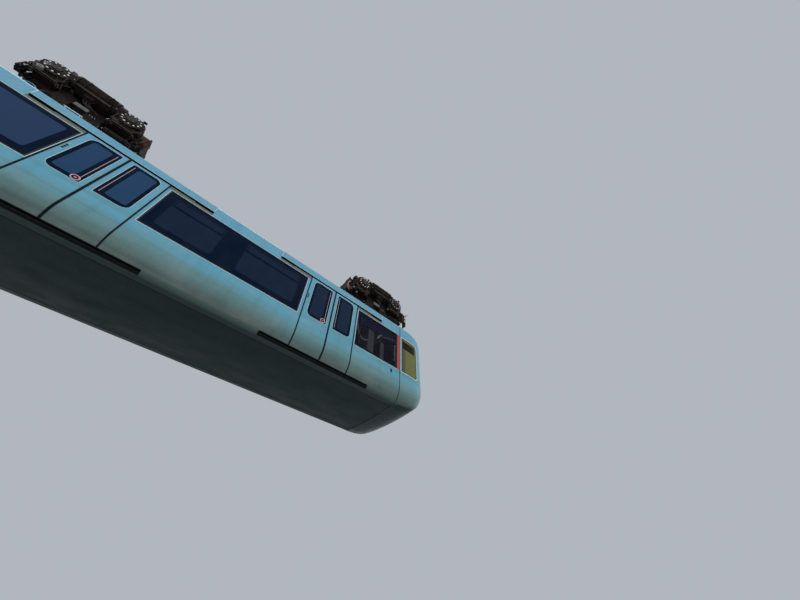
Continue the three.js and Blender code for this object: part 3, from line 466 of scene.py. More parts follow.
class Shape:
    """Vertices and faces of one piece, in metres."""

    def __init__(self):
        self.verts = []
        self.faces = []

    def add(self, verts, faces):
        first = len(self.verts)
        self.verts += [tuple(v) for v in verts]
        self.faces += [tuple(first + i for i in face) for face in faces]
        return self

    def loft(self, rings, loop=False):
        """Skin through rings of equal length, closed by flat ends or into a loop."""
        count = len(rings[0])
        faces = []
        for i in range(len(rings) if loop else len(rings) - 1):
            a = i * count
            b = ((i + 1) % len(rings)) * count
            for j in range(count):
                k = (j + 1) % count
                faces.append((a + j, a + k, b + k, b + j))
        if not loop:
            faces.append(tuple(reversed(range(count))))
            faces.append(tuple((len(rings) - 1) * count + j for j in range(count)))
        return self.add([p for ring in rings for p in ring], faces)

    def box(self, low, high, edge=0.0):
        """A block between two corners, its edges along X eased by a chamfer."""
        (x0, y0, z0), (x1, y1, z1) = low, high
        outline = [(y0, z0), (y1, z0), (y1, z1), (y0, z1)]
        if edge:
            c = edge
            outline = [(y0 + c, z0), (y1 - c, z0), (y1, z0 + c), (y1, z1 - c),
                       (y1 - c, z1), (y0 + c, z1), (y0, z1 - c), (y0, z0 + c)]
        return self.loft([[(x, y, z) for y, z in outline] for x in (x0, x1)])

    def rod(self, start, end, radius, sides=10):
        start, end = Vector(start), Vector(end)
        _, side, other = around(end - start)
        return self.loft([ring_at(p, side, other, radius, sides) for p in (start, end)])

    def tube(self, path, radius, sides=8):
        """A pipe through points, its section carried along without twist."""
        points = [Vector(p) for p in path]
        rings = []
        side = None
        for i, point in enumerate(points):
            along = (points[min(i + 1, len(points) - 1)] - points[max(i - 1, 0)]).normalized()
            side = along.orthogonal() if side is None else side - along * side.dot(along)
            side.normalize()
            rings.append(ring_at(point, side, along.cross(side), radius, sides))
        return self.loft(rings)

    def border(self, outer, inner, place, front, back):
        """A flat frame between two outlines of equal length; place(a, b, depth) gives a point."""
        return self.loft([
            [place(*o, front), place(*o, back), place(*i, back), place(*i, front)]
            for o, i in zip(outer, inner)], loop=True)

    def plate(self, outline, place, front, back):
        return self.loft([[place(a, b, back) for a, b in outline], [place(a, b, front) for a, b in outline]])

    def disc(self, centre, axis, radius, depth, sides=16, inner=0.0):
        """A coin or ring standing on a point along an axis."""
        centre = Vector(centre)
        axis, side, other = around(axis)
        steps = [(radius, 0), (radius, depth)]
        if inner > 0:
            steps += [(inner, depth), (inner, 0)]
        rings = [ring_at(centre + axis * d, side, other, r, sides) for r, d in steps]
        return self.loft(rings, loop=inner > 0)

    def nuts(self, places, axis, radius, depth):
        """Hexagon heads at points."""
        for place in places:
            self.disc(place, axis, radius, depth, 6)
        return self

    def bolts(self, centre, axis, reach, count, radius, depth):
        """Hexagon heads on a circle."""
        side = Vector(UP)
        points = ring_at(Vector(centre), side, Vector(axis).cross(side), reach, count)
        return self.nuts(points, axis, radius, depth)

    def block(self, centre, size, turn=0.0, taper=0.82):
        """A cast block turned about Y, its outer (-Y) face eased."""
        across, deep, high = (v / 2 for v in size)
        x, y, z = centre
        c, s = cos(turn), sin(turn)
        corners = [(-across, -high), (across, -high), (across, high), (-across, high)]
        return self.loft([
            [(x + (a * c - b * s) * grow, y + at, z + (a * s + b * c) * grow) for a, b in corners]
            for grow, at in ((1, deep), (1, -0.5 * deep), (taper, -deep))])

    def arc_band(self, centre, radius, thick, y0, y1, start, end, steps=14):
        """A raised band along an arc round the Y axis."""
        inner, outer = (arc(centre, r, start, end, steps) for r in (radius, radius + thick))
        return self.loft([
            [(a, y0, b), (a, y1, b), (c, y1, d), (c, y0, d)] for (a, b), (c, d) in zip(inner, outer)])

    def mapped(self, change, flip=False):
        made = Shape()
        made.verts = [tuple(change(*v)) for v in self.verts]
        made.faces = [tuple(reversed(f)) for f in self.faces] if flip else list(self.faces)
        return made

    def moved(self, dx):
        return self.mapped(lambda x, y, z: (x + dx, y, z))

    def joined(self, other):
        return self.add(other.verts, other.faces)

    def to_end(self, sign):
        """The same shape at the front end, or mirrored to the rear."""
        return self if sign > 0 else self.mapped(lambda x, y, z: (-x, y, z), flip=True)


def piece(name, shape, material, body, sharp=32):
    """Makes an object of a shape and lets it ride on a body."""
    mesh = bpy.data.meshes.new(name)
    mesh.from_pydata(shape.verts, [], shape.faces)
    mesh.shade_smooth()
    mesh.set_sharp_from_angle(angle=radians(sharp))
    mesh.materials.append(material)
    obj = bpy.data.objects.new(name, mesh)
    bpy.context.collection.objects.link(obj)
    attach(obj, body)
    return obj


def at_both_ends(name, shape, material, sharp=32, node=None):
    """A piece on the front section, mirrored on the rear one, each in place of a CAD node if named."""
    for end, sign in ENDS.items():
        made = piece(f"{end}_{name}", shape.to_end(sign), material, f"{end}_section", sharp)
        if node:
            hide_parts(f"{end}_{node}")


def arc(centre, radius, start, end, count):
    turns = [start + (end - start) * i / count for i in range(count + 1)]
    return [(centre[0] + radius * cos(t), centre[1] + radius * sin(t)) for t in turns]


def rounded(a0, a1, b0, b1, radii, steps=6):
    """Outline of a rectangle with a radius for each corner: low-low, high-low, high-high, low-high."""
    r00, r10, r11, r01 = radii if isinstance(radii, (list, tuple)) else [radii] * 4
    quarter = pi / 2
    return (
        arc((a0 + r00, b0 + r00), r00, 2 * quarter, 3 * quarter, steps)
        + arc((a1 - r10, b0 + r10), r10, 3 * quarter, 4 * quarter, steps)
        + arc((a1 - r11, b1 - r11), r11, 0, quarter, steps)
        + arc((a0 + r01, b1 - r01), r01, quarter, 2 * quarter, steps))


def bezier(p0, p1, p2, p3, steps=16):
    points = []
    for i in range(steps + 1):
        t = i / steps
        a, b, c, d = (1 - t) ** 3, 3 * t * (1 - t) ** 2, 3 * t * t * (1 - t), t ** 3
        points.append([a * w + b * x + c * y + d * z for w, x, y, z in zip(p0, p1, p2, p3)])
    return points


def half_width(z):
    if z >= SIDE_ARC_TOP_Z:
        return HALF_WIDTH
    return HALF_WIDTH - SIDE_ARC_R + sqrt(SIDE_ARC_R ** 2 - (z - SIDE_ARC_TOP_Z) ** 2)


CORNER_Z = SIDE_ARC_TOP_Z - sqrt(SIDE_ARC_R ** 2 - (CORNER_HALF_WIDTH - HALF_WIDTH + SIDE_ARC_R) ** 2)


def side_line(top, bottom, steps=14):
    """Points and outward directions down the door side's skin."""
    levels = [top] if top > SIDE_ARC_TOP_Z else []
    start = min(top, SIDE_ARC_TOP_Z)
    levels += [start + (bottom - start) * i / steps for i in range(steps + 1)]
    line = []
    for z in levels:
        fall = max(0.0, SIDE_ARC_TOP_Z - z) / SIDE_ARC_R
        line.append((-half_width(z), z, -sqrt(1 - fall * fall), -fall))
    return line


def side_strip(shape, x0, x1, top, bottom, proud, depth):
    """A strip down the side skin, from a little proud to a depth."""
    rings = []
    for y, z, ny, nz in side_line(top, bottom):
        out = (y + ny * proud, z + nz * proud)
        back = (y - ny * depth, z - nz * depth)
        rings.append([(x0, *out), (x1, *out), (x1, *back), (x0, *back)])
    shape.loft(rings)


def on_side(side):
    """Places an outline drawn in x and z on the flat side, at a distance out of the skin."""
    return lambda x, z, out: (x, side * (HALF_WIDTH + out), z)


DOOR_FACE = on_side(-1)
FAR_FACE = on_side(1)


def shoulder_and_crown(inset, steps):
    """The roof's line from the +Y edge over the crown to the -Y edge."""
    r = ROOF_EDGE_R - inset * 0.5
    centre = HALF_WIDTH - inset - r
    shoulder = ROOF_EDGE_Z + r
    crown = ROOF_CROWN_Z - inset
    right = arc((centre, ROOF_EDGE_Z), r, 0, pi / 2, 5)
    for i in range(1, steps + 1):
        t = 1 - i / steps
        right.append((centre * t, crown - (crown - shoulder) * t ** 2))
    return right + [(-y, z) for y, z in reversed(right[:-1])]


def body_outline(inset=0.0, steps=10):
    """The body's whole cross-section, anticlockwise seen from the front."""
    floor = CORNER_Z + inset
    half = CORNER_HALF_WIDTH - inset
    belly = []
    for i in range(steps + 1):
        t = 2 * i / steps - 1
        belly.append((half * t, floor - BELLY_SAG * (1 - t * t)))
    r = SIDE_ARC_R - inset
    low = atan2(floor - SIDE_ARC_TOP_Z, sqrt(r * r - (floor - SIDE_ARC_TOP_Z) ** 2))
    side = arc((HALF_WIDTH - SIDE_ARC_R, SIDE_ARC_TOP_Z), r, low, 0, steps)[1:]
    return belly + side + shoulder_and_crown(inset, steps) + [(-y, z) for y, z in reversed(side)]


def outline_strip(shape, x0, x1, proud, depth):
    """A band round the whole body."""
    return shape.loft([
        [(x0, *out), (x1, *out), (x1, *back), (x0, *back)]
        for out, back in zip(body_outline(-proud), body_outline(depth))], loop=True)


# Door side of an end section
DOOR_WINDOW = {
    "top": -1.475, "bottom": -2.585,
    "outer_margin": 0.11, "meet_margin": 0.085, "outer_r": 0.12, "meet_r": 0.025,
}
DOOR_SEAM = 0.004
DOOR_INSET = 0.001
DOOR_T = 0.042
MEET_SEAM = 0.017
EDGE_SEAM = 0.013
HEADER_REACH = 0.83
HEADER_BOTTOM = -1.39
HEADER_PROUD = 0.014
CHANNEL_BOTTOM = -1.45
CHANNEL_DEPTH = 0.035
DARK_SLOT = 0.36
GUIDE_SLOT = {"reach": 0.61, "outer": -1.0, "inner": -0.93, "top": -3.457, "bottom": -3.497}
LEAF_BORDER = {"meet": 0.115, "outer": 0.06, "bottom": 0.085, "top": 0.065, "r": 0.045}
RED_STRIP = (10.81, 10.893)
WINDOW_PANES = {
    "3": [(1.96, 3.42, 0.13)],
    "2": [(4.89, 6.2, 0.17), (6.33, 7.93, 0.17)],
}
FAR_WINDOW = (1.96, 10.8)
FAR_PANES = [(1.962, 3.7, 0.1), (3.72, 5.45, 0.12), (5.47, 7.2, 0.12), (7.22, 8.98, 0.12), (9.0, 10.798, 0.1)]
HOPPER_Z = -1.86
FACE = -HALF_WIDTH


def leaves():
    """Each door leaf: its door, side letter, and span along the car."""
    for door in DOORS:
        yield door, "a", door["from"] + DOOR_SEAM, door["meet"] - 0.003
        yield door, "b", door["meet"] + 0.003, door["to"] - DOOR_SEAM


def low_and_high(side, outer, meet):
    """Values at a leaf's low and high end along X, from those of its outer and meeting edges."""
    return (outer, meet) if side == "a" else (meet, outer)


def leaf_window(side, x0, x1, grow=0.0):
    """Outline of a leaf's window, sharp at the meeting edge and round at the other."""
    w = DOOR_WINDOW
    low, high = low_and_high(side, w["outer_margin"], w["meet_margin"])
    low_r, high_r = low_and_high(side, w["outer_r"] + grow, w["meet_r"] + max(grow, -0.015))
    return rounded(x0 + low - grow, x1 - high + grow, w["bottom"] - grow, w["top"] + grow,
                   [low_r, high_r, high_r, low_r], 8)


def leaf_pane(side, x0, x1):
    """Inner edge of a leaf's printed border, farther in at the meeting edge."""
    w, b = DOOR_WINDOW, LEAF_BORDER
    low, high = low_and_high(side, w["outer_margin"] + b["outer"], w["meet_margin"] + b["meet"])
    return rounded(x0 + low, x1 - high, w["bottom"] + b["bottom"], w["top"] - b["top"], b["r"], 8)


def leaf_panel(*leaf):
    """A leaf with its window cut through: flat upper part, curved skirt."""
    shape = Shape()
    _, x0, x1 = leaf
    edge = rounded(x0, x1, SIDE_ARC_TOP_Z, DOOR_TOP_Z - DOOR_SEAM, [0.001, 0.001, 0.012, 0.012], 8)
    shape.border(edge, leaf_window(*leaf), DOOR_FACE, -DOOR_INSET, -DOOR_INSET - DOOR_T)
    side_strip(shape, x0, x1, SIDE_ARC_TOP_Z, FLOOR_TOP_Z + 0.0003, -DOOR_INSET, DOOR_INSET + DOOR_T)
    return shape


def leaf_edge_line(side, x0, x1):
    """Thin line of the safety edge, seen through the glass beside the meeting edge."""
    w = DOOR_WINDOW
    x = x1 - w["meet_margin"] - 0.05 if side == "a" else x0 + w["meet_margin"] + 0.05
    outline = rounded(x - 0.005, x + 0.005, w["bottom"] + 0.075, w["top"] - 0.06, 0.004, 3)
    return Shape().plate(outline, DOOR_FACE, -0.0028, -0.0042)


def door_seams():
    shape = Shape()
    for door in DOORS:
        for x, half, top, proud in (
                (door["meet"], MEET_SEAM, DOOR_TOP_Z - 0.004, 0.005),
                (door["from"], EDGE_SEAM, DOOR_TOP_Z + 0.004, 0.002),
                (door["to"], EDGE_SEAM, DOOR_TOP_Z + 0.004, 0.002)):
            side_strip(shape, x - half, x + half, top, FLOOR_TOP_Z, proud, 0.03)
        shape.box((door["from"], FACE - 0.0025, DOOR_TOP_Z - 0.012),
                  (door["to"], FACE + CHANNEL_DEPTH, DOOR_TOP_Z - 0.002))
    return shape


def channel_painted_shade():
    """Painted shade: dark lining at the back and top of the channel over a doorway, with a dark patch over a
    short length at each end, and dark lining in the guide slot under it with dark bands on the skin above and
    below the slot.
    """
    shape = Shape()
    back = FACE + CHANNEL_DEPTH
    g = GUIDE_SLOT
    inner, outer, top, bottom = g["inner"], g["outer"], g["top"], g["bottom"]
    for door in DOORS:
        x0, x1 = door["from"] - HEADER_REACH, door["to"] + HEADER_REACH
        shape.box((x0, back - 0.002, CHANNEL_BOTTOM + 0.001), (x1, back + 0.001, HEADER_BOTTOM - 0.001))
        shape.box((x0, FACE + 0.001, HEADER_BOTTOM - 0.003), (x1, back, HEADER_BOTTOM - 0.001))
        for a, b in ((x0, x0 + DARK_SLOT), (x1 - DARK_SLOT, x1)):
            shape.box((a, FACE - 0.001, CHANNEL_BOTTOM - 0.012), (b, back, CHANNEL_BOTTOM + 0.004))
        a, b = door["from"] - g["reach"], door["to"] + g["reach"]
        shape.box((a + 0.001, inner - 0.003, bottom + 0.001), (b - 0.001, inner - 0.001, top - 0.001))
        for z in (top - 0.003, bottom + 0.001):
            shape.box((a + 0.001, outer, z), (b - 0.001, inner, z + 0.002))
        # Dark bands on the skin round the slot: painted shade, so that the slot looks deeper
        side_strip(shape, a, b, FLOOR_TOP_Z - 0.002, top + 0.001, 0.0015, 0.01)
        side_strip(shape, a, b, bottom - 0.001, bottom - 0.015, 0.0015, 0.01)
    return shape


def channel_strips():
    """Grey strip over the windows beside the doors, dark as painted shade under the proud header, and a
    deeper one inside the channel as painted shade there.
    """
    shape = Shape()
    for door in DOORS:
        a, b = door["from"] - 0.012, door["to"] + 0.012
        x0, x1 = door["from"] - HEADER_REACH, door["to"] + HEADER_REACH
        for low, high in ((x0, a), (b, x1)):
            shape.box((low, FACE - 0.0025, WINDOW_TOP_Z + 0.013), (high, FACE + 0.01, CHANNEL_BOTTOM - 0.002))
        for low, high in ((x0 + DARK_SLOT, a), (b, x1 - DARK_SLOT)):
            shape.box((low, FACE + 0.012, CHANNEL_BOTTOM), (high, FACE + 0.03, HEADER_BOTTOM - 0.022))
    return shape


def edge_highlight_lines():
    """Thin light lines of painted highlight along edges: under the headers, at their ends, and round the
    windows.
    """
    shape = Shape()
    proud = FACE - HEADER_PROUD - 0.0015
    for door in DOORS:
        x0, x1 = door["from"] - HEADER_REACH, door["to"] + HEADER_REACH
        shape.box((x0, proud, HEADER_BOTTOM), (x1, proud + 0.0055, HEADER_BOTTOM + 0.007))
        for x in (x0, x1):
            shape.box((x - 0.006, proud, HEADER_BOTTOM), (x + 0.006, FACE + 0.004, ROOF_EDGE_Z - 0.004))
    for x0, x1 in WINDOWS.values():
        for z in (WINDOW_TOP_Z + 0.009, WINDOW_BOTTOM_Z - 0.012):
            shape.box((x0 - 0.018, FACE - 0.0028, z - 0.006), (x1 + 0.018, FACE + 0.003, z + 0.006), 0.0012)
        for x in (x0 - 0.012, x1 + 0.012):
            if x < RED_STRIP[0]:
                shape.box((x - 0.005, FACE - 0.0026, WINDOW_BOTTOM_Z - 0.006),
                          (x + 0.005, FACE + 0.003, WINDOW_TOP_Z + 0.003), 0.0012)
    return shape


def pane_borders(panes, place, gap=0.0):
    """Dark printed borders of panes given as (from, to, border)."""
    shape = Shape()
    for x0, x1, margin in panes:
        outer = rounded(x0 + gap, x1 - gap, WINDOW_BOTTOM_Z + 0.001, WINDOW_TOP_Z - 0.001, 0.011)
        inner = rounded(x0 + margin, x1 - margin, WINDOW_BOTTOM_Z + 0.15, WINDOW_TOP_Z - 0.1, 0.045)
        shape.border(outer, inner, place, -0.0022, -0.0045)
    return shape


def fixed_borders():
    """Borders of windows 2 and 3, with the opaque band in the middle of window 2."""
    left, right = WINDOW_PANES["2"]
    band = rounded(left[1] - 0.06, right[0] + 0.06, WINDOW_BOTTOM_Z + 0.0015, WINDOW_TOP_Z - 0.0015, 0.002, 2)
    panes = [pane for window in WINDOW_PANES.values() for pane in window]
    return pane_borders(panes, DOOR_FACE, 0.001).plate(band, DOOR_FACE, -0.002, -0.0046)


def hopper_frames(panes, place):
    """Slim frames of tilting panes at the top of a window, and the bar under them."""
    shape = Shape()
    for x0, x1, margin in panes:
        a, b = x0 + margin, x1 - margin
        outer = rounded(a + 0.02, b - 0.02, HOPPER_Z, WINDOW_TOP_Z - 0.125, 0.03, 5)
        inner = rounded(a + 0.034, b - 0.034, HOPPER_Z + 0.014, WINDOW_TOP_Z - 0.139, 0.03, 5)
        shape.border(outer, inner, place, -0.0015, -0.0042)
        bar = rounded(a + 0.005, b - 0.005, HOPPER_Z - 0.035, HOPPER_Z - 0.004, 0.004, 2)
        shape.plate(bar, place, -0.0015, -0.0042)
    return shape


def far_joints():
    """Rubber joints between the far side's panes."""
    shape = Shape()
    for left, right in zip(FAR_PANES, FAR_PANES[1:]):
        shape.box((left[1] - 0.004, HALF_WIDTH - 0.0048, WINDOW_BOTTOM_Z + 0.0015),
                  (right[0] + 0.004, HALF_WIDTH + 0.0012, WINDOW_TOP_Z - 0.0015), 0.0015)
    return shape


def window_gaskets(spans, place):
    """Narrow rubber round fixed panes."""
    shape = Shape()
    for x0, x1 in spans:
        outer = rounded(x0 - 0.006, x1 + 0.006, WINDOW_BOTTOM_Z - 0.004, WINDOW_TOP_Z + 0.004, 0.016, 4)
        inner = rounded(x0 + 0.016, x1 - 0.016, WINDOW_BOTTOM_Z + 0.016, WINDOW_TOP_Z - 0.016, 0.008, 4)
        shape.border(outer, inner, place, 0.002, -0.0042)
    return shape


def small_marks():
    """Blank dark labels beside the doors and the little black plate near the cab."""
    shape = Shape()
    for x, low in ((3.5, -2.07), (8.06, -2.1)):
        for i in range(3):
            z = low + 0.05 * i
            label = rounded(x - 0.016, x + 0.016, z - 0.018, z + 0.018, 0.006, 3)
            shape.plate(label, DOOR_FACE, 0.0012, -0.003)
    return shape.plate(rounded(10.585, 10.635, -2.86, -2.765, 0.004, 3), DOOR_FACE, 0.002, -0.003)


def stickers():
    """Round blank stickers in the lower meeting corner of each leaf a: a ring and a small middle."""
    ring, middle = Shape(), Shape()
    for _, side, x0, x1 in leaves():
        if side == "a":
            centre = (x1 - DOOR_WINDOW["meet_margin"] - 0.085, FACE + 0.0035, DOOR_WINDOW["bottom"] + 0.075)
            ring.disc(centre, OUTWARD, 0.062, 0.0012, 24, 0.047)
            middle.disc(centre, OUTWARD, 0.02, 0.001, 20)
    return ring, middle


def dress_doors():
    for door, *leaf in leaves():
        name = f"door_{door['name']}_leaf_{leaf[0]}"
        pane = BLUE_GLASS if door["name"] == "inner" else DOOR_GLASS
        glazing = Shape().plate(leaf_window(*leaf, -0.0005), DOOR_FACE, -0.005, -0.012)
        inside = leaf_window(*leaf, -0.0006)
        printed = Shape().border(inside, leaf_pane(*leaf), DOOR_FACE, -0.0035, -0.0048)
        # Pale rim round each door window: painted highlight on the opening's bevel
        rim = Shape().border(leaf_window(*leaf, 0.006), leaf_window(*leaf, -0.001), DOOR_FACE, 0.0022, -0.004)
        at_both_ends(f"{name}_panel", leaf_panel(*leaf), PAINT, 25, node=name)
        at_both_ends(f"{name}_glass", glazing, pane)
        at_both_ends(f"{name}_border", printed, FRIT)
        at_both_ends(f"{name}_rim", rim, TRIM_AND_HIGHLIGHT)
        at_both_ends(f"{name}_edge_line", leaf_edge_line(*leaf), PINK_LINE)


dress_doors()
red_strip = rounded(*RED_STRIP, WINDOW_BOTTOM_Z - 0.002, WINDOW_TOP_Z + 0.002, 0.012, 4)
sticker_ring, sticker_middle = stickers()
for name, shape, material in (
        ("door_seams", door_seams(), DARK),
        ("channel_painted_shade", channel_painted_shade(), DARK),
        ("channel_strips", channel_strips(), GREY_STRIP),
        ("edge_highlight_lines", edge_highlight_lines(), TRIM_AND_HIGHLIGHT),
        ("window_borders", fixed_borders(), FRIT),
        ("hopper_frames", hopper_frames(WINDOW_PANES["2"], DOOR_FACE), FRIT),
        ("far_borders", pane_borders(FAR_PANES, FAR_FACE), FRIT),
        ("far_hoppers", hopper_frames(FAR_PANES[1:4], FAR_FACE), FRIT),
        ("far_joints", far_joints(), RUBBER),
        ("window_gaskets", window_gaskets(WINDOWS.values(), DOOR_FACE), RUBBER),
        ("far_window_gasket", window_gaskets([FAR_WINDOW], FAR_FACE), RUBBER),
        ("small_marks", small_marks(), DARK),
        ("red_strip", Shape().plate(red_strip, DOOR_FACE, 0.003, -0.003), RED),
        ("sticker_rings", sticker_ring, STICKER_PINK),
        ("sticker_middles", sticker_middle, STICKER_RED)):
    at_both_ends(name, shape, material)


# End caps: the CAD's nose law with more stations, so that it rounds smoothly
NOSE_LENGTH = 1.134
NOSE_SIDE, NOSE_BOTTOM, NOSE_TOP = 3.8, 2.5, 3.1
BODY_CENTRE_Z = -2.37
NOSE_T = 0.045
NOSE_STATIONS = 22
CAP_WINDOW = {"from": 0.05, "to": 0.655, "top": -1.55, "bottom": -2.67, "r": 0.11}
CAP_BLIND = (0.1, 0.575, -1.9, -1.64)
CAP_POST = (0.064, 0.2, -2.64, -1.6)
WINDSCREEN = {"half": 0.8, "top": -1.6, "bottom": -2.72, "r": 0.18, "x": SEAM_X + 0.65}
LAMP = {"y": 0.64, "z": -2.96, "r": 0.095}
TAIL_LAMP = {"y": 0.42, "r": 0.055}
FAR = 4.0


def shrink(u, power):
    return (1 - u ** power) ** (1 / power)


def nose_power(z):
    return NOSE_BOTTOM if z < BODY_CENTRE_Z else NOSE_TOP


def nose_volume(inset, back=0.0):
    outline = body_outline(inset, 8)
    rings = [[(SEAM_X - back, y, z) for y, z in outline]] if back else []
    for i in range(NOSE_STATIONS):
        u = 1 - (1 - i / NOSE_STATIONS) ** 3
        x = SEAM_X + 0.0003 + (NOSE_LENGTH - inset) * u
        rings.append([
            (x, y * shrink(u, NOSE_SIDE), BODY_CENTRE_Z + (z - BODY_CENTRE_Z) * shrink(u, nose_power(z)))
            for y, z in outline])
    return Shape().loft(rings)


def cap_window_prism(side, margin):
    w = CAP_WINDOW
    outline = rounded(SEAM_X + w["from"] + margin, SEAM_X + w["to"] - margin, w["bottom"] + margin,
                      w["top"] - margin, [0.04, w["r"], w["r"], 0.04], 8)
    near, far = sorted((side * 0.3, side * FAR))
    return Shape().loft([[(x, y, z) for x, z in outline] for y in (far, near)])


def side_prism(side, span):
    """A box through one side of the cap: x from the seam, then z, low and high."""
    x0, x1, z0, z1 = span
    near, far = sorted((side * 0.3, side * FAR))
    return Shape().box((SEAM_X + x0, near, z0), (SEAM_X + x1, far, z1))


def windscreen_prism(margin, top_margin=None):
    w = WINDSCREEN
    top = w["top"] - (margin if top_margin is None else top_margin)
    outline = rounded(-w["half"] + margin, w["half"] - margin, w["bottom"] + margin, top, w["r"], 8)
    return Shape().loft([[(x, y, z) for y, z in outline] for x in (w["x"], w["x"] + FAR)])


def lamp_prism(y, z, radius):
    return Shape().rod((SEAM_X + 0.3, y, z), (SEAM_X + FAR, y, z), radius, 28)


# A thin rod high above the car, for parts of the skin without a hole
NO_HOLE = lamp_prism(0, FAR, 0.01)


def temporary(shape):
    mesh = bpy.data.meshes.new("temporary")
    mesh.from_pydata(shape.verts, [], shape.faces)
    obj = bpy.data.objects.new("temporary", mesh)
    bpy.context.collection.objects.link(obj)
    return obj


def carve(base, *steps):
    """Cuts or keeps what other shapes cover, by exact booleans."""
    made = temporary(base)
    tools = []
    for operation, shape in steps:
        tools.append(temporary(shape))
        modifier = made.modifiers.new(operation, "BOOLEAN")
        modifier.operation = operation
        modifier.solver = "EXACT"
        modifier.object = tools[-1]
    bpy.context.view_layer.update()
    mesh = made.evaluated_get(bpy.context.evaluated_depsgraph_get()).to_mesh()
    result = Shape().add([tuple(v.co) for v in mesh.vertices], [tuple(p.vertices) for p in mesh.polygons])
    for obj in (made, *tools):
        bpy.data.objects.remove(obj)
    return result


def on_nose(out, inside, within, hole=NO_HOLE):
    """The part of the nose's skin between two depths and within a prism, with a hole through it."""
    return carve(nose_volume(out), ("DIFFERENCE", nose_volume(inside, 0.05)), ("INTERSECT", within),
                 ("DIFFERENCE", hole))


def nose_x(y, z):
    """Where the nose's skin lies ahead of a point of the (y, z) plane."""
    low, high = 0.0, 0.9999
    for _ in range(40):
        u = (low + high) / 2
        level = BODY_CENTRE_Z + (z - BODY_CENTRE_Z) / shrink(u, nose_power(z))
        inside = CORNER_Z < level < ROOF_EDGE_Z and half_width(level) * shrink(u, NOSE_SIDE) > abs(y)
        low, high = (u, high) if inside else (low, u)
    return SEAM_X + NOSE_LENGTH * low


def wiper(shape, y0, y1):
    """Arm and blade over the windscreen, from its foot below the glass."""
    foot, tip = (y0, WINDSCREEN["bottom"] - 0.1), (y1, -2.12)
    path = []
    for i in range(9):
        t = i / 8
        y, z = foot[0] + (tip[0] - foot[0]) * t, foot[1] + (tip[1] - foot[1]) * t
        path.append((nose_x(y, z) + 0.028 - 0.012 * t, y, z))
    shape.tube(path, 0.009, 6)
    shape.disc((path[0][0] - 0.03, *foot), AHEAD, 0.03, 0.045, 12)
    blade = [-2.5 + 0.1 * i for i in range(8)]
    shape.tube([(nose_x(y1, z) + 0.012, y1, z) for z in blade], 0.007, 6)


def dress_caps():
    holes = [windscreen_prism(0)] + [cap_window_prism(side, 0) for side in SIDES.values()]
    shell = carve(nose_volume(0), *(("DIFFERENCE", hole) for hole in [nose_volume(NOSE_T, 0.05), *holes]))
    at_both_ends("cap_shell", shell, PAINT, 40, node="end_cap")
    at_both_ends("screen", on_nose(0.004, 0.012, windscreen_prism(0.0003)), CLEAR_GLASS, node="end_window")
    border = on_nose(0.0022, 0.0046, windscreen_prism(0.001), windscreen_prism(0.06, 0.2))
    at_both_ends("screen_border", border, FRIT)
    gasket = on_nose(-0.003, 0.006, windscreen_prism(-0.014), windscreen_prism(0.012))
    at_both_ends("screen_gasket", gasket, RUBBER)
    for name, side in SIDES.items():
        pane = on_nose(0.004, 0.012, cap_window_prism(side, 0.0003))
        at_both_ends(f"cap_glass_{name}", pane, OLIVE_REFLECTION_GLASS, node=f"cap_window_{name}")
        rim = on_nose(-0.004, 0.006, cap_window_prism(side, -0.014), cap_window_prism(side, 0.003))
        at_both_ends(f"cap_frame_{name}", rim, PALE_FRAME)
        seal = on_nose(0.0005, 0.0047, cap_window_prism(side, 0.0026), cap_window_prism(side, 0.026))
        at_both_ends(f"cap_seal_{name}", seal, OLIVE_SEAL)
        at_both_ends(f"cap_blind_{name}", on_nose(0.0022, 0.0046, side_prism(side, CAP_BLIND)), BLIND)
        at_both_ends(f"cap_post_{name}", on_nose(0.0028, 0.0046, side_prism(side, CAP_POST)), OLIVE_POST)
    rims, lenses, tails, wipers = Shape(), Shape(), Shape(), Shape()
    z, r = LAMP["z"], LAMP["r"]
    for side in (-1, 1):
        y = side * LAMP["y"]
        rims.joined(on_nose(-0.012, 0.01, lamp_prism(y, z, r + 0.008), lamp_prism(y, z, r - 0.012)))
        lenses.joined(on_nose(-0.009, 0.004, lamp_prism(y, z, r - 0.0125)))
        tails.joined(on_nose(-0.008, 0.004, lamp_prism(side * TAIL_LAMP["y"], z - 0.01, TAIL_LAMP["r"])))
    wiper(wipers, -0.5, -0.34)
    wiper(wipers, 0.22, 0.38)
    at_both_ends("lamp_rims", rims, BRIGHT)
    at_both_ends("lamp_lenses", lenses, LENS)
    at_both_ends("tail_lenses", tails, TAIL_LENS)
    at_both_ends("wipers", wipers, RUBBER)


dress_caps()


# Driver's cab, seen through window 1 and the windscreen
CEILING_Z = -1.262
CEILING_HALF = 0.86
DESK_TOP_Z = -2.615
SUNBLIND = {"from": 9.48, "to": 10.79, "y": -0.998, "low": -1.765}


def cab_ceiling():
    """Ceiling panel with ribs and a lamp bowl over the driver."""
    shape = Shape()
    shape.box((9.6, -CEILING_HALF, CEILING_Z), (10.85, CEILING_HALF, -1.25), 0.004)
    for x in (9.85, 10.25, 10.65):
        shape.box((x - 0.015, -CEILING_HALF, -1.28), (x + 0.015, CEILING_HALF, CEILING_Z), 0.003)
    return shape.disc((10.05, -0.45, CEILING_Z), DOWN, 0.11, 0.04, 24, 0.06)


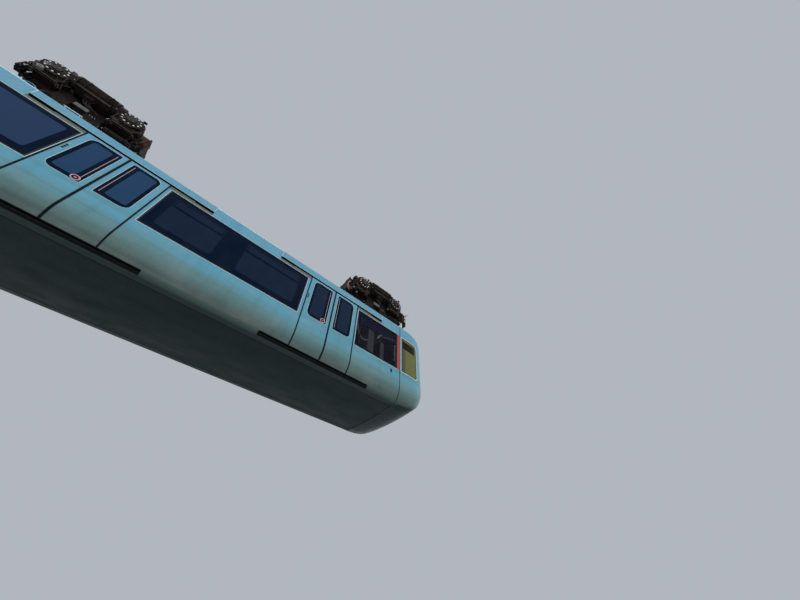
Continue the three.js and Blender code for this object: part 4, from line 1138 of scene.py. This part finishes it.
def cab_rails():
    """Handrail by the door, window post, sun-blind rail and desk switches, near white to give painted
    reflection of bright structure in window 1.
    """
    shape = Shape()
    rail = bezier((9.5, -1.02, -1.78), (9.56, -1.02, -2.2), (9.66, -1.0, -2.36), (9.87, -1.01, -2.22), 14)
    shape.tube(rail, 0.014)
    shape.box((10.775, -1.03, -2.4), (10.8, -1.0, -1.86), 0.004)
    shape.rod((10.38, -1.02, -1.84), (10.78, -1.02, -1.72), 0.007, 8)
    shape.tube([(10.2, -1.0, -1.96), (10.25, -1.0, -1.87), (10.31, -1.0, -1.8)], 0.027)
    for i in range(6):
        shape.disc((10.72, -0.42 + 0.16 * i, DESK_TOP_Z), UP, 0.022, 0.02 + 0.008 * (i % 3), 12)
    return shape


def cab_screens():
    """Narrow screens beside the driver and the edge of the partition, behind window 1."""
    shape = Shape()
    shape.box((9.93, -0.958, -2.46), (10.12, -0.942, -1.7), 0.003)
    return shape.box((10.36, -0.938, -2.5), (10.48, -0.922, -1.96), 0.003)


def cab_sunblind():
    """Blue blind rolled part of the way down inside window 1; its strong blue is painted reflection of sky.
    """
    b = SUNBLIND
    outline = rounded(b["from"], b["to"], -1.76, -1.535, 0.01, 3)
    shape = Shape().loft([[(x, y, z) for x, z in outline] for y in (-0.995, -1.0)])
    return shape.rod((b["from"], b["y"], b["low"]), (b["to"], b["y"], b["low"]), 0.008, 8)


for name, shape, material in (
        ("ceiling", cab_ceiling(), CAB_GREY),
        ("rails", cab_rails(), CAB_REFLECTION_WHITE),
        ("screens", cab_screens(), CAB_GREY),
        ("sunblind", cab_sunblind(), BLIND_SKY_REFLECTION)):
    piece(f"front_cab_{name}", shape, material, "front_section")

# Gangway bellows: fine folds that replace the plain ones
FOLDS = 13
FOLD_STEPS = 8


def bellows_shape():
    x0, x1 = MID_HALF + 0.001, SECTION_START - 0.001
    profile = []
    for i in range(FOLDS * FOLD_STEPS + 1):
        t = i / (FOLDS * FOLD_STEPS)
        wave = abs(sin(pi * FOLDS * t)) ** 0.7
        profile.append((x0 + (x1 - x0) * t, body_outline(0.045 - 0.037 * wave, 6)))
    profile += [(x, body_outline(0.055, 6)) for x in (x1, x0)]
    count = len(profile[0][1])
    return Shape().loft([[(x, *outline[j]) for x, outline in profile] for j in range(count)], loop=True)


def bend_folds():
    """Folds and the clamping frames where they meet the sections."""
    folded = bellows_shape()
    at_end = outline_strip(Shape(), SECTION_START - 0.022, SECTION_START + 0.03, 0.006, 0.02)
    at_middle = outline_strip(Shape(), MID_HALF - 0.03, MID_HALF + 0.022, 0.006, 0.02)
    at_both_ends("gangway_frame", at_end, RUBBER)
    for end, sign in ENDS.items():
        folds = piece(f"{end}_gangway_folds", folded.to_end(sign), FOLD_RUBBER, "mid_section", 60)
        folds.parent = None
        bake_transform(folds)
        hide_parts(f"bellows_{end}")
        piece(f"mid_gangway_frame_{end}", at_middle.to_end(sign), RUBBER, "mid_section")


bend_folds()

# Bogie fittings, with x from the pivot
CASE_Y = -0.56
BEAM_Y = -0.329
LEG_Y = -0.42
COVER_Y = -0.6
MOTOR = {"y": -0.52, "z": 0.46, "half": 0.33, "bolts": 0.163, "strap": 0.18}
RIB_R = 0.21
CASE_BOLTS_R = 0.238
BRAKE_PIN = {"x": 0.46, "z": -0.16}
LEVER_X = 0.86
CLIP_X = 1.0
SPRING = {"x": 0.3, "y": -0.47, "seats": (-0.98, -0.72), "half": 0.075, "t": 0.03}
LEG_BOLT_Z = (-0.2, -0.35, -0.5, -0.65)
STIRRUP = {"y": -0.56, "z": 0.17, "from": -0.06, "to": 0.1}
RESERVOIR = {
    "y": -0.415, "z": -0.23, "r": 0.068, "straps": (0.6, 0.9),
    "profile": ((0.5, 0.6), (0.515, 0.85), (0.545, 1.0), (0.955, 1.0), (0.985, 0.85), (1.0, 0.6)),
}
# Rubbed bars under the motor: from, to, height
MOTOR_BARS = ((-0.22, -0.07, 0.316), (0.15, 0.31, 0.306))
PIN_PLACES = (
    (-0.95, -0.47, 0.06), (-0.82, -0.46, -0.06), (0.41, -0.5, 0.05), (0.9, -0.47, 0.2), (-0.5, -0.46, 0.1))
END_DISCS = ((-0.8, 0.31), (-0.775, 0.1))
CASE_BANDS_Y = (-0.545, -0.47, -0.395)
# Ribs under a gear case: place across, reach along
CASE_RIBS = ((-0.535, 0.2), (-0.49, 0.23), (-0.44, 0.23))
LUG_REACH = 0.262
GUSSET_X = (-0.9, -0.55, 0.55, 0.9)
BOLT_ROW = {"from": -0.98, "step": 0.14, "count": 15}
RING = {"r": 0.168, "count": 12, "size": (0.036, 0.02, 0.034)}


def cover_segments():
    """Rings of rubbed steel segments on the two gear covers."""
    shape = Shape()
    for x in (-WHEEL_X, WHEEL_X):
        for t in circle(RING["count"], 2 * pi * 0.3 / RING["count"]):
            centre = (x + RING["r"] * cos(t), COVER_Y - 0.008, AXLE_Z + RING["r"] * sin(t))
            shape.block(centre, RING["size"], t)
    return shape


def end_discs():
    """Two capped discs at the rear end of an inner bogie's rear gear case."""
    shape = Shape()
    for x, z in END_DISCS:
        shape.disc((x, CASE_Y, z), OUTWARD, 0.052, 0.055, 24)
        shape.disc((x, CASE_Y - 0.055, z), OUTWARD, 0.046, 0.008, 20, 0.03)
        shape.nuts([(x, CASE_Y - 0.055, z)], OUTWARD, 0.016, 0.012)
    return shape


def bright_bits():
    """Rubbed bars under the motor, pins, clips and nuts that catch the light."""
    shape = Shape()
    for x0, x1, z in MOTOR_BARS:
        shape.box((x0, -0.585, z - 0.006), (x1, -0.573, z + 0.006), 0.003)
    for x, y, z in PIN_PLACES:
        shape.rod((x - 0.012, y, z - 0.03), (x + 0.016, y - 0.004, z + 0.03), 0.009, 8)
        shape.nuts([(x, y, z - 0.034)], DOWN, 0.016, 0.012)
    for x in (-WHEEL_X, WHEEL_X):
        low_half = arc((x, AXLE_Z), CASE_BOLTS_R, radians(200), radians(340), 4)
        shape.nuts([(a, CASE_Y - 0.012, b) for a, b in low_half], OUTWARD, 0.009, 0.006)
    for side in (-1, 1):
        drop = MOTOR["bolts"] * 0.7
        shape.nuts([(side * 0.366, MOTOR["y"] - drop, MOTOR["z"] - drop)], (side, 0, 0), 0.013, 0.02)
        x, z = side * BRAKE_PIN["x"], BRAKE_PIN["z"]
        shape.rod((x, -0.36, z), (x, -0.38, z), 0.016)
    return shape


def cover_castings():
    """Ribs, flanges and bolt heads of the gear covers and the motor."""
    shape = Shape()
    for x in (-WHEEL_X, WHEEL_X):
        for t in circle(24):
            centre = (x + RIB_R * cos(t), COVER_Y - 0.004, AXLE_Z + RIB_R * sin(t))
            shape.block(centre, (0.03, 0.012, 0.009), t)
        shape.disc((x, COVER_Y, AXLE_Z), OUTWARD, 0.128, 0.016, 28, 0.092)
        shape.bolts((x, COVER_Y - 0.016, AXLE_Z), OUTWARD, 0.11, 8, 0.009, 0.01)
        shape.bolts((x, CASE_Y, AXLE_Z), OUTWARD, CASE_BOLTS_R, 14, 0.012, 0.012)
        for y in CASE_BANDS_Y:
            shape.arc_band((x, AXLE_Z), 0.248, 0.014, y - 0.012, y + 0.012, -0.05 * pi, 1.05 * pi)
        for lug in (x - LUG_REACH, x + LUG_REACH):
            shape.box((lug - 0.02, -0.53, 0.16), (lug + 0.02, -0.42, 0.22), 0.008)
            shape.nuts([(lug, -0.475, 0.16)], DOWN, 0.014, 0.02)
    y, z = MOTOR["y"], MOTOR["z"]
    for side in (-1, 1):
        face = side * (MOTOR["half"] + 0.036)
        shape.bolts((face, y, z), (side, 0, 0), MOTOR["bolts"], 12, 0.011, 0.014)
        shape.disc((face, y, z), (side, 0, 0), 0.1, 0.03, 20)
        for a in circle(8):
            shape.rod((face, y + 0.125 * cos(a), z + 0.125 * sin(a)),
                      (side * 0.47, y + 0.09 * cos(a), z + 0.09 * sin(a)), 0.01, 6)
        strap = arc((y, z), MOTOR["strap"], radians(120), radians(420), 20)
        shape.tube([(side * 0.2, *p) for p in strap], 0.008, 6)
    shape.box((-0.1, -0.582, 0.158), (0.05, -0.57, 0.244), 0.004)
    return shape.nuts([(x, -0.582, z) for x in (-0.085, 0.035) for z in (0.17, 0.232)], OUTWARD, 0.007, 0.006)


def coil_spring(shape, x, y, z0, z1, radius=0.042, wire=0.009, turns=6):
    steps = turns * 12
    coil = arc((x, y), radius, 0, 2 * pi * turns, steps)
    shape.tube([(a, b, z0 + (z1 - z0) * i / steps) for i, (a, b) in enumerate(coil)], wire, 6)
    for z in (z0 - 0.012, z1 - 0.002):
        shape.disc((x, y, z), UP, radius + 0.014, 0.014)


def frame_fittings():
    """Gussets, bolt rows, brake rods, springs and clips on the bogie frame."""
    shape = Shape()
    for x in GUSSET_X:
        gusset = [(BEAM_Y, 0.125), (-0.412, 0.125), (BEAM_Y, -0.02)]
        shape.loft([[(x + dx, y, z) for y, z in gusset] for dx in (-0.007, 0.007)])
    row = [BOLT_ROW["from"] + BOLT_ROW["step"] * i for i in range(BOLT_ROW["count"])]
    shape.nuts([(x, -0.33, 0.16) for x in row if abs(abs(x) - WHEEL_X) > 0.27], OUTWARD, 0.012, 0.012)
    shape.nuts([(x, BEAM_Y, 0.02) for x in row if abs(x) > 0.42], OUTWARD, 0.012, 0.012)
    half = SPRING["half"]
    pin_z = BRAKE_PIN["z"]
    for side in (-1, 1):
        for z in LEG_BOLT_Z:
            shape.nuts([(side * 0.28, LEG_Y, z), (side * 0.36, LEG_Y, z - 0.06)], OUTWARD, 0.013, 0.013)
        seat, lever, clip, pin = (side * x for x in (SPRING["x"], LEVER_X, CLIP_X, BRAKE_PIN["x"]))
        for z in SPRING["seats"]:
            shape.box((seat - half, -0.52, z), (seat + half, LEG_Y, z + SPRING["t"]), 0.006)
        coil_spring(shape, seat, SPRING["y"], -0.94, -0.73)
        shape.rod((side * 0.2, -0.36, 0.08), (side * 0.9, -0.4, 0.06), 0.014, 8)
        shape.rod((lever, -0.44, 0.0), (lever, -0.34, 0.0), 0.02, 8)
        shape.box((lever - 0.018, -0.41, -0.09), (lever + 0.018, -0.38, 0.09), 0.004)
        shape.rod((lever, -0.395, -0.07), (pin, -0.35, pin_z), 0.011, 8)
        shape.disc((pin, BEAM_Y, pin_z), OUTWARD, 0.03, 0.03, 12)
        shape.box((clip - 0.035, -0.45, -0.06), (clip + 0.035, -0.415, 0.2), 0.008)
        shape.nuts([(clip, -0.45, z) for z in (-0.03, 0.06, 0.15)], OUTWARD, 0.014, 0.014)
    x0, x1, y, z = STIRRUP["from"], STIRRUP["to"], STIRRUP["y"], STIRRUP["z"]
    shape.tube(bezier((x0, y, z), (x0, y, 0.08), (x1, y, 0.08), (x1, y, z), 12), 0.01)
    for x in (x0, x1):
        shape.rod((x, y, z), (x, y + 0.02, 0.31), 0.01, 8)
    return shape


def reservoir():
    """Air reservoir under the leading half of the beam, with its straps and saddles."""
    shape = Shape()
    y, z, r = RESERVOIR["y"], RESERVOIR["z"], RESERVOIR["r"]
    shape.loft([
        [(x, y + r * part * cos(a), z + r * part * sin(a)) for a in circle(20)]
        for x, part in RESERVOIR["profile"]])
    for x in RESERVOIR["straps"]:
        shape.tube([(x, *p) for p in arc((y, z), r + 0.006, radians(60), radians(300), 12)], 0.008, 6)
        shape.box((x - 0.03, y + 0.05, z - 0.05), (x + 0.03, BEAM_Y, z + 0.05), 0.006)
    return shape


def end_block():
    """Rusty bracket block on the leading end plate, with bolts and a lug."""
    shape = Shape()
    shape.box((1.05, -0.5, -0.02), (1.15, -0.36, 0.26), 0.018)
    shape.box((1.02, -0.46, 0.26), (1.12, -0.38, 0.33), 0.01)
    for z in (0.04, 0.12, 0.2):
        shape.nuts([(1.15, -0.43, z)], AHEAD, 0.02, 0.016)
        shape.nuts([(1.1, -0.5, z)], OUTWARD, 0.018, 0.014)
    return shape.rod((1.08, -0.44, -0.02), (1.04, -0.42, -0.14), 0.016, 8)


def edge_ribs():
    """Lengthwise ribs under the gear cases, warm brown as a painted highlight along their edges."""
    shape = Shape()
    for x in (-WHEEL_X, WHEEL_X):
        for y, reach in CASE_RIBS:
            shape.box((x - reach, y - 0.005, 0.052), (x + reach, y + 0.005, 0.072), 0.002)
    for x in (-0.21, 0.21):
        shape.box((x - 0.09, -0.336, 0.085), (x + 0.09, -0.33, 0.1), 0.002)
    return shape


def pale_plates():
    """Blank plates on the leg."""
    shape = Shape().block((0, -0.427, -0.02), (0.24, 0.014, 0.1), 0, 0.96)
    for x in (0.19, 0.235, 0.28):
        shape.block((x, -0.425, -0.1), (0.016, 0.01, 0.045), 0.5, 0.9)
    return shape


HOSE_PATHS = [
    (0.012, 16, ((0.44, -0.58, 0.36), (0.46, -0.64, 0.2), (0.42, -0.52, 0.06), (0.4, -0.34, 0.05))),
    (0.012, 16, ((0.92, -0.45, 0.3), (1.02, -0.52, 0.26), (1.02, -0.48, 0.05), (0.8, -0.34, 0.06))),
    (0.015, 20, ((0.36, -0.36, -0.1), (0.5, -0.5, -0.3), (0.5, -0.5, -0.6), (0.38, -0.42, -0.72))),
]


def hoses():
    """Black hoses between the motor, its box and the frame."""
    shape = Shape()
    for i, x in enumerate((-0.07, -0.02, 0.03)):
        end = (x + 0.22 + 0.04 * i, -0.34, 0.09)
        shape.tube(bezier((x, -0.5, 0.155), (x, -0.52, 0.02), (x + 0.18, -0.47, 0.02), end), 0.013)
    for side in (-1, 1):
        for radius, steps, path in HOSE_PATHS:
            shape.tube(bezier(*((side * x, y, z) for x, y, z in path), steps), radius)
    for i in range(3):
        loop = arc((-0.47, 0.25), 0.075 + 0.03 * i, radians(190), radians(346), 12)
        shape.tube([(x, -0.49 - 0.012 * i, z) for x, z in loop], 0.008, 6)
    return shape


def copper_pipes():
    """Bare copper lines at the rear end of the bogie."""
    shape = Shape()
    for i in range(3):
        x, y = -1.16 - 0.02 * i, -0.37 - 0.035 * i
        path = bezier((-1.05, y, 0.24), (x, y - 0.03, 0.2), (x, y - 0.02, -0.1), (-1.0, y + 0.01, -0.06))
        shape.tube(path, 0.012)
    return shape


def guard_brackets():
    """Bright brackets and bolts on the rail guard of the outermost bogies."""
    shape = Shape()
    shape.nuts([(1.376, y, z) for z in (0.08, 0.2, 0.32) for y in (-0.27, -0.18)], (-1, 0, 0), 0.015, 0.014)
    shape.box((1.2, -0.315, 0.19), (1.37, -0.3, 0.31), 0.004)
    for ends, section in (
            ((-0.6, -0.56), ((1.19, 0.2), (1.27, 0.29), (1.275, 0.285), (1.195, 0.195))),
            ((-0.6, -0.48), ((1.14, 0.18), (1.2, 0.2), (1.2, 0.19), (1.14, 0.17)))):
        shape.loft([[(x, y, z) for x, z in section] for y in ends])
    return shape


BOGIE_PIECES = [
    ("cover_segments", cover_segments(), BRIGHT),
    ("castings", cover_castings(), CASING),
    ("frame_fittings", frame_fittings(), IRON),
    ("pale_plates", pale_plates(), PALE_PLATE),
    ("bright_bits", bright_bits(), BRIGHT),
    ("reservoir", reservoir(), IRON),
    ("end_block", end_block(), RUST_IRON),
    ("edge_ribs", edge_ribs(), EDGE_HIGHLIGHT_BROWN),
    ("hoses", hoses(), HOSE),
]
INNER_PIECES = [("end_discs", end_discs(), DISC_PAINT)]

for number, x in enumerate(BOGIE_X, 1):
    # The rearmost bogie's guard looks back
    outer_pieces = [
        ("copper_lines", copper_pipes(), COPPER),
        ("guard_brackets", guard_brackets().to_end(1 if x > 0 else -1), BRIGHT),
    ]
    outermost = abs(x) == max(BOGIE_X)
    for name, shape, material in BOGIE_PIECES + (outer_pieces if outermost else INNER_PIECES):
        piece(f"bogie_{number}_{name}", shape.moved(x), material, f"bogie_{number}")


# Belly seams and the gasket before each cap
def belly_z(y, out=0.0):
    return CORNER_Z - BELLY_SAG * (1 - (y / CORNER_HALF_WIDTH) ** 2) - out


def belly_plate(shape, x0, x1, y0, y1, out, depth, steps):
    rings = []
    for y in (y0 + (y1 - y0) * i / steps for i in range(steps + 1)):
        face, back = belly_z(y, out), belly_z(y, -depth)
        rings.append([(x0, y, face), (x1, y, face), (x1, y, back), (x0, y, back)])
    shape.loft(rings)


BELLY_SEAM_Y = 0.8
belly_seams = Shape()
for y in (-BELLY_SEAM_Y, BELLY_SEAM_Y):
    belly_plate(belly_seams, SECTION_START + 0.01, SEAM_X - 0.01, y - 0.002, y + 0.002, 0.0006, 0.004, 1)
cap_gasket = outline_strip(Shape(), SEAM_X - 0.009, SEAM_X + 0.009, 0.0022, 0.02)
for side in (-1, 1):
    belly_plate(cap_gasket, SEAM_X - 0.016, SEAM_X + 0.016, side * 0.02, side * 0.915, 0.006, 0.006, 10)
at_both_ends("belly_seams", belly_seams, DARK)
at_both_ends("cap_gasket", cap_gasket, RUBBER)


# Roof: cross ribs, edge gutters, vents and cable ducts
def roof_z(y, out=0.0):
    centre = HALF_WIDTH - ROOF_EDGE_R
    shoulder = ROOF_EDGE_Z + ROOF_EDGE_R
    return ROOF_CROWN_Z - (ROOF_CROWN_Z - shoulder) * (y / centre) ** 2 + out


def roof_bar(shape, x0, x1, y0, y1, out, steps=1, ease=0.0):
    rings = []
    for y in (y0 + (y1 - y0) * i / steps for i in range(steps + 1)):
        foot, top = roof_z(y, -0.004), roof_z(y, out)
        rings.append([(x0, y, foot), (x1, y, foot), (x1 - ease, y, top), (x0 + ease, y, top)])
    shape.loft(rings)


PIVOT_CLEAR = 0.95
BAR_SPACING = 0.9
BAR_HALF = 0.98
GUTTER = {"y": 1.0, "half": 0.012, "out": 0.012}
DUCT = {"y": 0.62, "half": 0.03, "out": 0.014}
VENT_X = (4.6, 6.4, 8.2)
VENT_HALF = {"x": 0.3, "y": 0.32}
CONDUIT = (-1.055, -1.095)


def roof_bars(x0, x1, pivots=()):
    shape = Shape()
    count = round((x1 - x0) / BAR_SPACING)
    for i in range(1, count):
        x = x0 + (x1 - x0) * i / count
        if all(abs(x - p) > PIVOT_CLEAR for p in pivots):
            roof_bar(shape, x - 0.02, x + 0.02, -BAR_HALF, BAR_HALF, 0.01, 12, 0.008)
    for side in (-1, 1):
        for bar in (GUTTER, DUCT):
            y, half = side * bar["y"], bar["half"]
            roof_bar(shape, x0 + 0.02, x1 - 0.02, y - half, y + half, bar["out"])
    return shape


def roof_vents():
    shape = Shape()
    half, y = VENT_HALF["x"], VENT_HALF["y"]
    low = roof_z(y)
    for x in VENT_X:
        shape.box((x - half, -y, low - 0.004), (x + half, y, ROOF_CROWN_Z + 0.05), 0.02)
        for i in range(7):
            louvre = -0.24 + 0.08 * i
            shape.box((x - half - 0.002, louvre - 0.012, low + 0.012),
                      (x + half + 0.002, louvre + 0.012, low + 0.03))
    return shape


def roof_conduit():
    """Pale conduit on the roof edge beside the inner bogie, and its clips."""
    y, z = CONDUIT
    shape = Shape().rod((2.9, y, z), (3.17, y, z), 0.01)
    for x in (2.93, 3.14):
        shape.rod((x, y, z - 0.07), (x, y, z), 0.006, 6)
    return shape


at_both_ends("roof_bars", roof_bars(SECTION_START, SEAM_X, BOGIE_X[:2]), PAINT)
at_both_ends("roof_vents", roof_vents(), PAINT)
at_both_ends("roof_conduit", roof_conduit(), TRIM_AND_HIGHLIGHT)
piece("mid_roof_bars", roof_bars(-MID_HALF, MID_HALF), PAINT, "mid_section")
MID_WINDOW = (-0.56, 0.56)
mid_gaskets = window_gaskets([MID_WINDOW], DOOR_FACE).joined(window_gaskets([MID_WINDOW], FAR_FACE))
piece("mid_window_gaskets", mid_gaskets, RUBBER, "mid_section")

# Stage
STAGE_HALF = 45
SKY = (0.80, 0.86, 0.93, 1)
SKY_STRENGTH = 0.55
floor = Shape().box((-STAGE_HALF, -STAGE_HALF, FLOOR_Z - 0.05), (STAGE_HALF, STAGE_HALF, FLOOR_Z))
floor_mesh = bpy.data.meshes.new("studio_floor")
floor_mesh.from_pydata(floor.verts, [], floor.faces)
floor_paint = plain_paint("studio_floor", (0.62, 0.62, 0.61), 0.7, dirt=0.05, dirt_colour=(0.5, 0.5, 0.5))
floor_mesh.materials.append(floor_paint)
floor_object = bpy.data.objects.new("studio_floor", floor_mesh)
bpy.context.collection.objects.link(floor_object)


def area_light(name, place, target, size, power, colour=(1, 1, 1), glossy=False):
    data = bpy.data.lights.new(name, "AREA")
    data.shape = "RECTANGLE"
    data.size, data.size_y = size
    data.energy = power
    data.color = colour
    lamp = bpy.data.objects.new(name, data)
    lamp.location = place
    lamp.rotation_euler = (Vector(target) - Vector(place)).to_track_quat("-Z", "Y").to_euler()
    lamp.visible_glossy = glossy
    bpy.context.collection.objects.link(lamp)


# Broad daylight from the door side and above, with weaker fill on the nose and behind
area_light("side_light", (2, -17, -1.5), (2, -1, -2.2), (30, 6), 1500, (0.95, 0.98, 1.0))
area_light("top_light", (2, -3, 12), (2, 0, 0), (30, 10), 1200, glossy=True)
area_light("front_fill", (22, -2, 0), (11, 0, -2), (8, 8), 500)
area_light("back_fill", (-4, 16, 2), (0, 1, -2), (24, 8), 900)

world = bpy.data.worlds.new("studio")
world.use_nodes = True
background = world.node_tree.nodes["Background"]
background.inputs["Color"].default_value = SKY
background.inputs["Strength"].default_value = SKY_STRENGTH
bpy.context.scene.world = world
bpy.context.scene.view_settings.view_transform = "Standard"
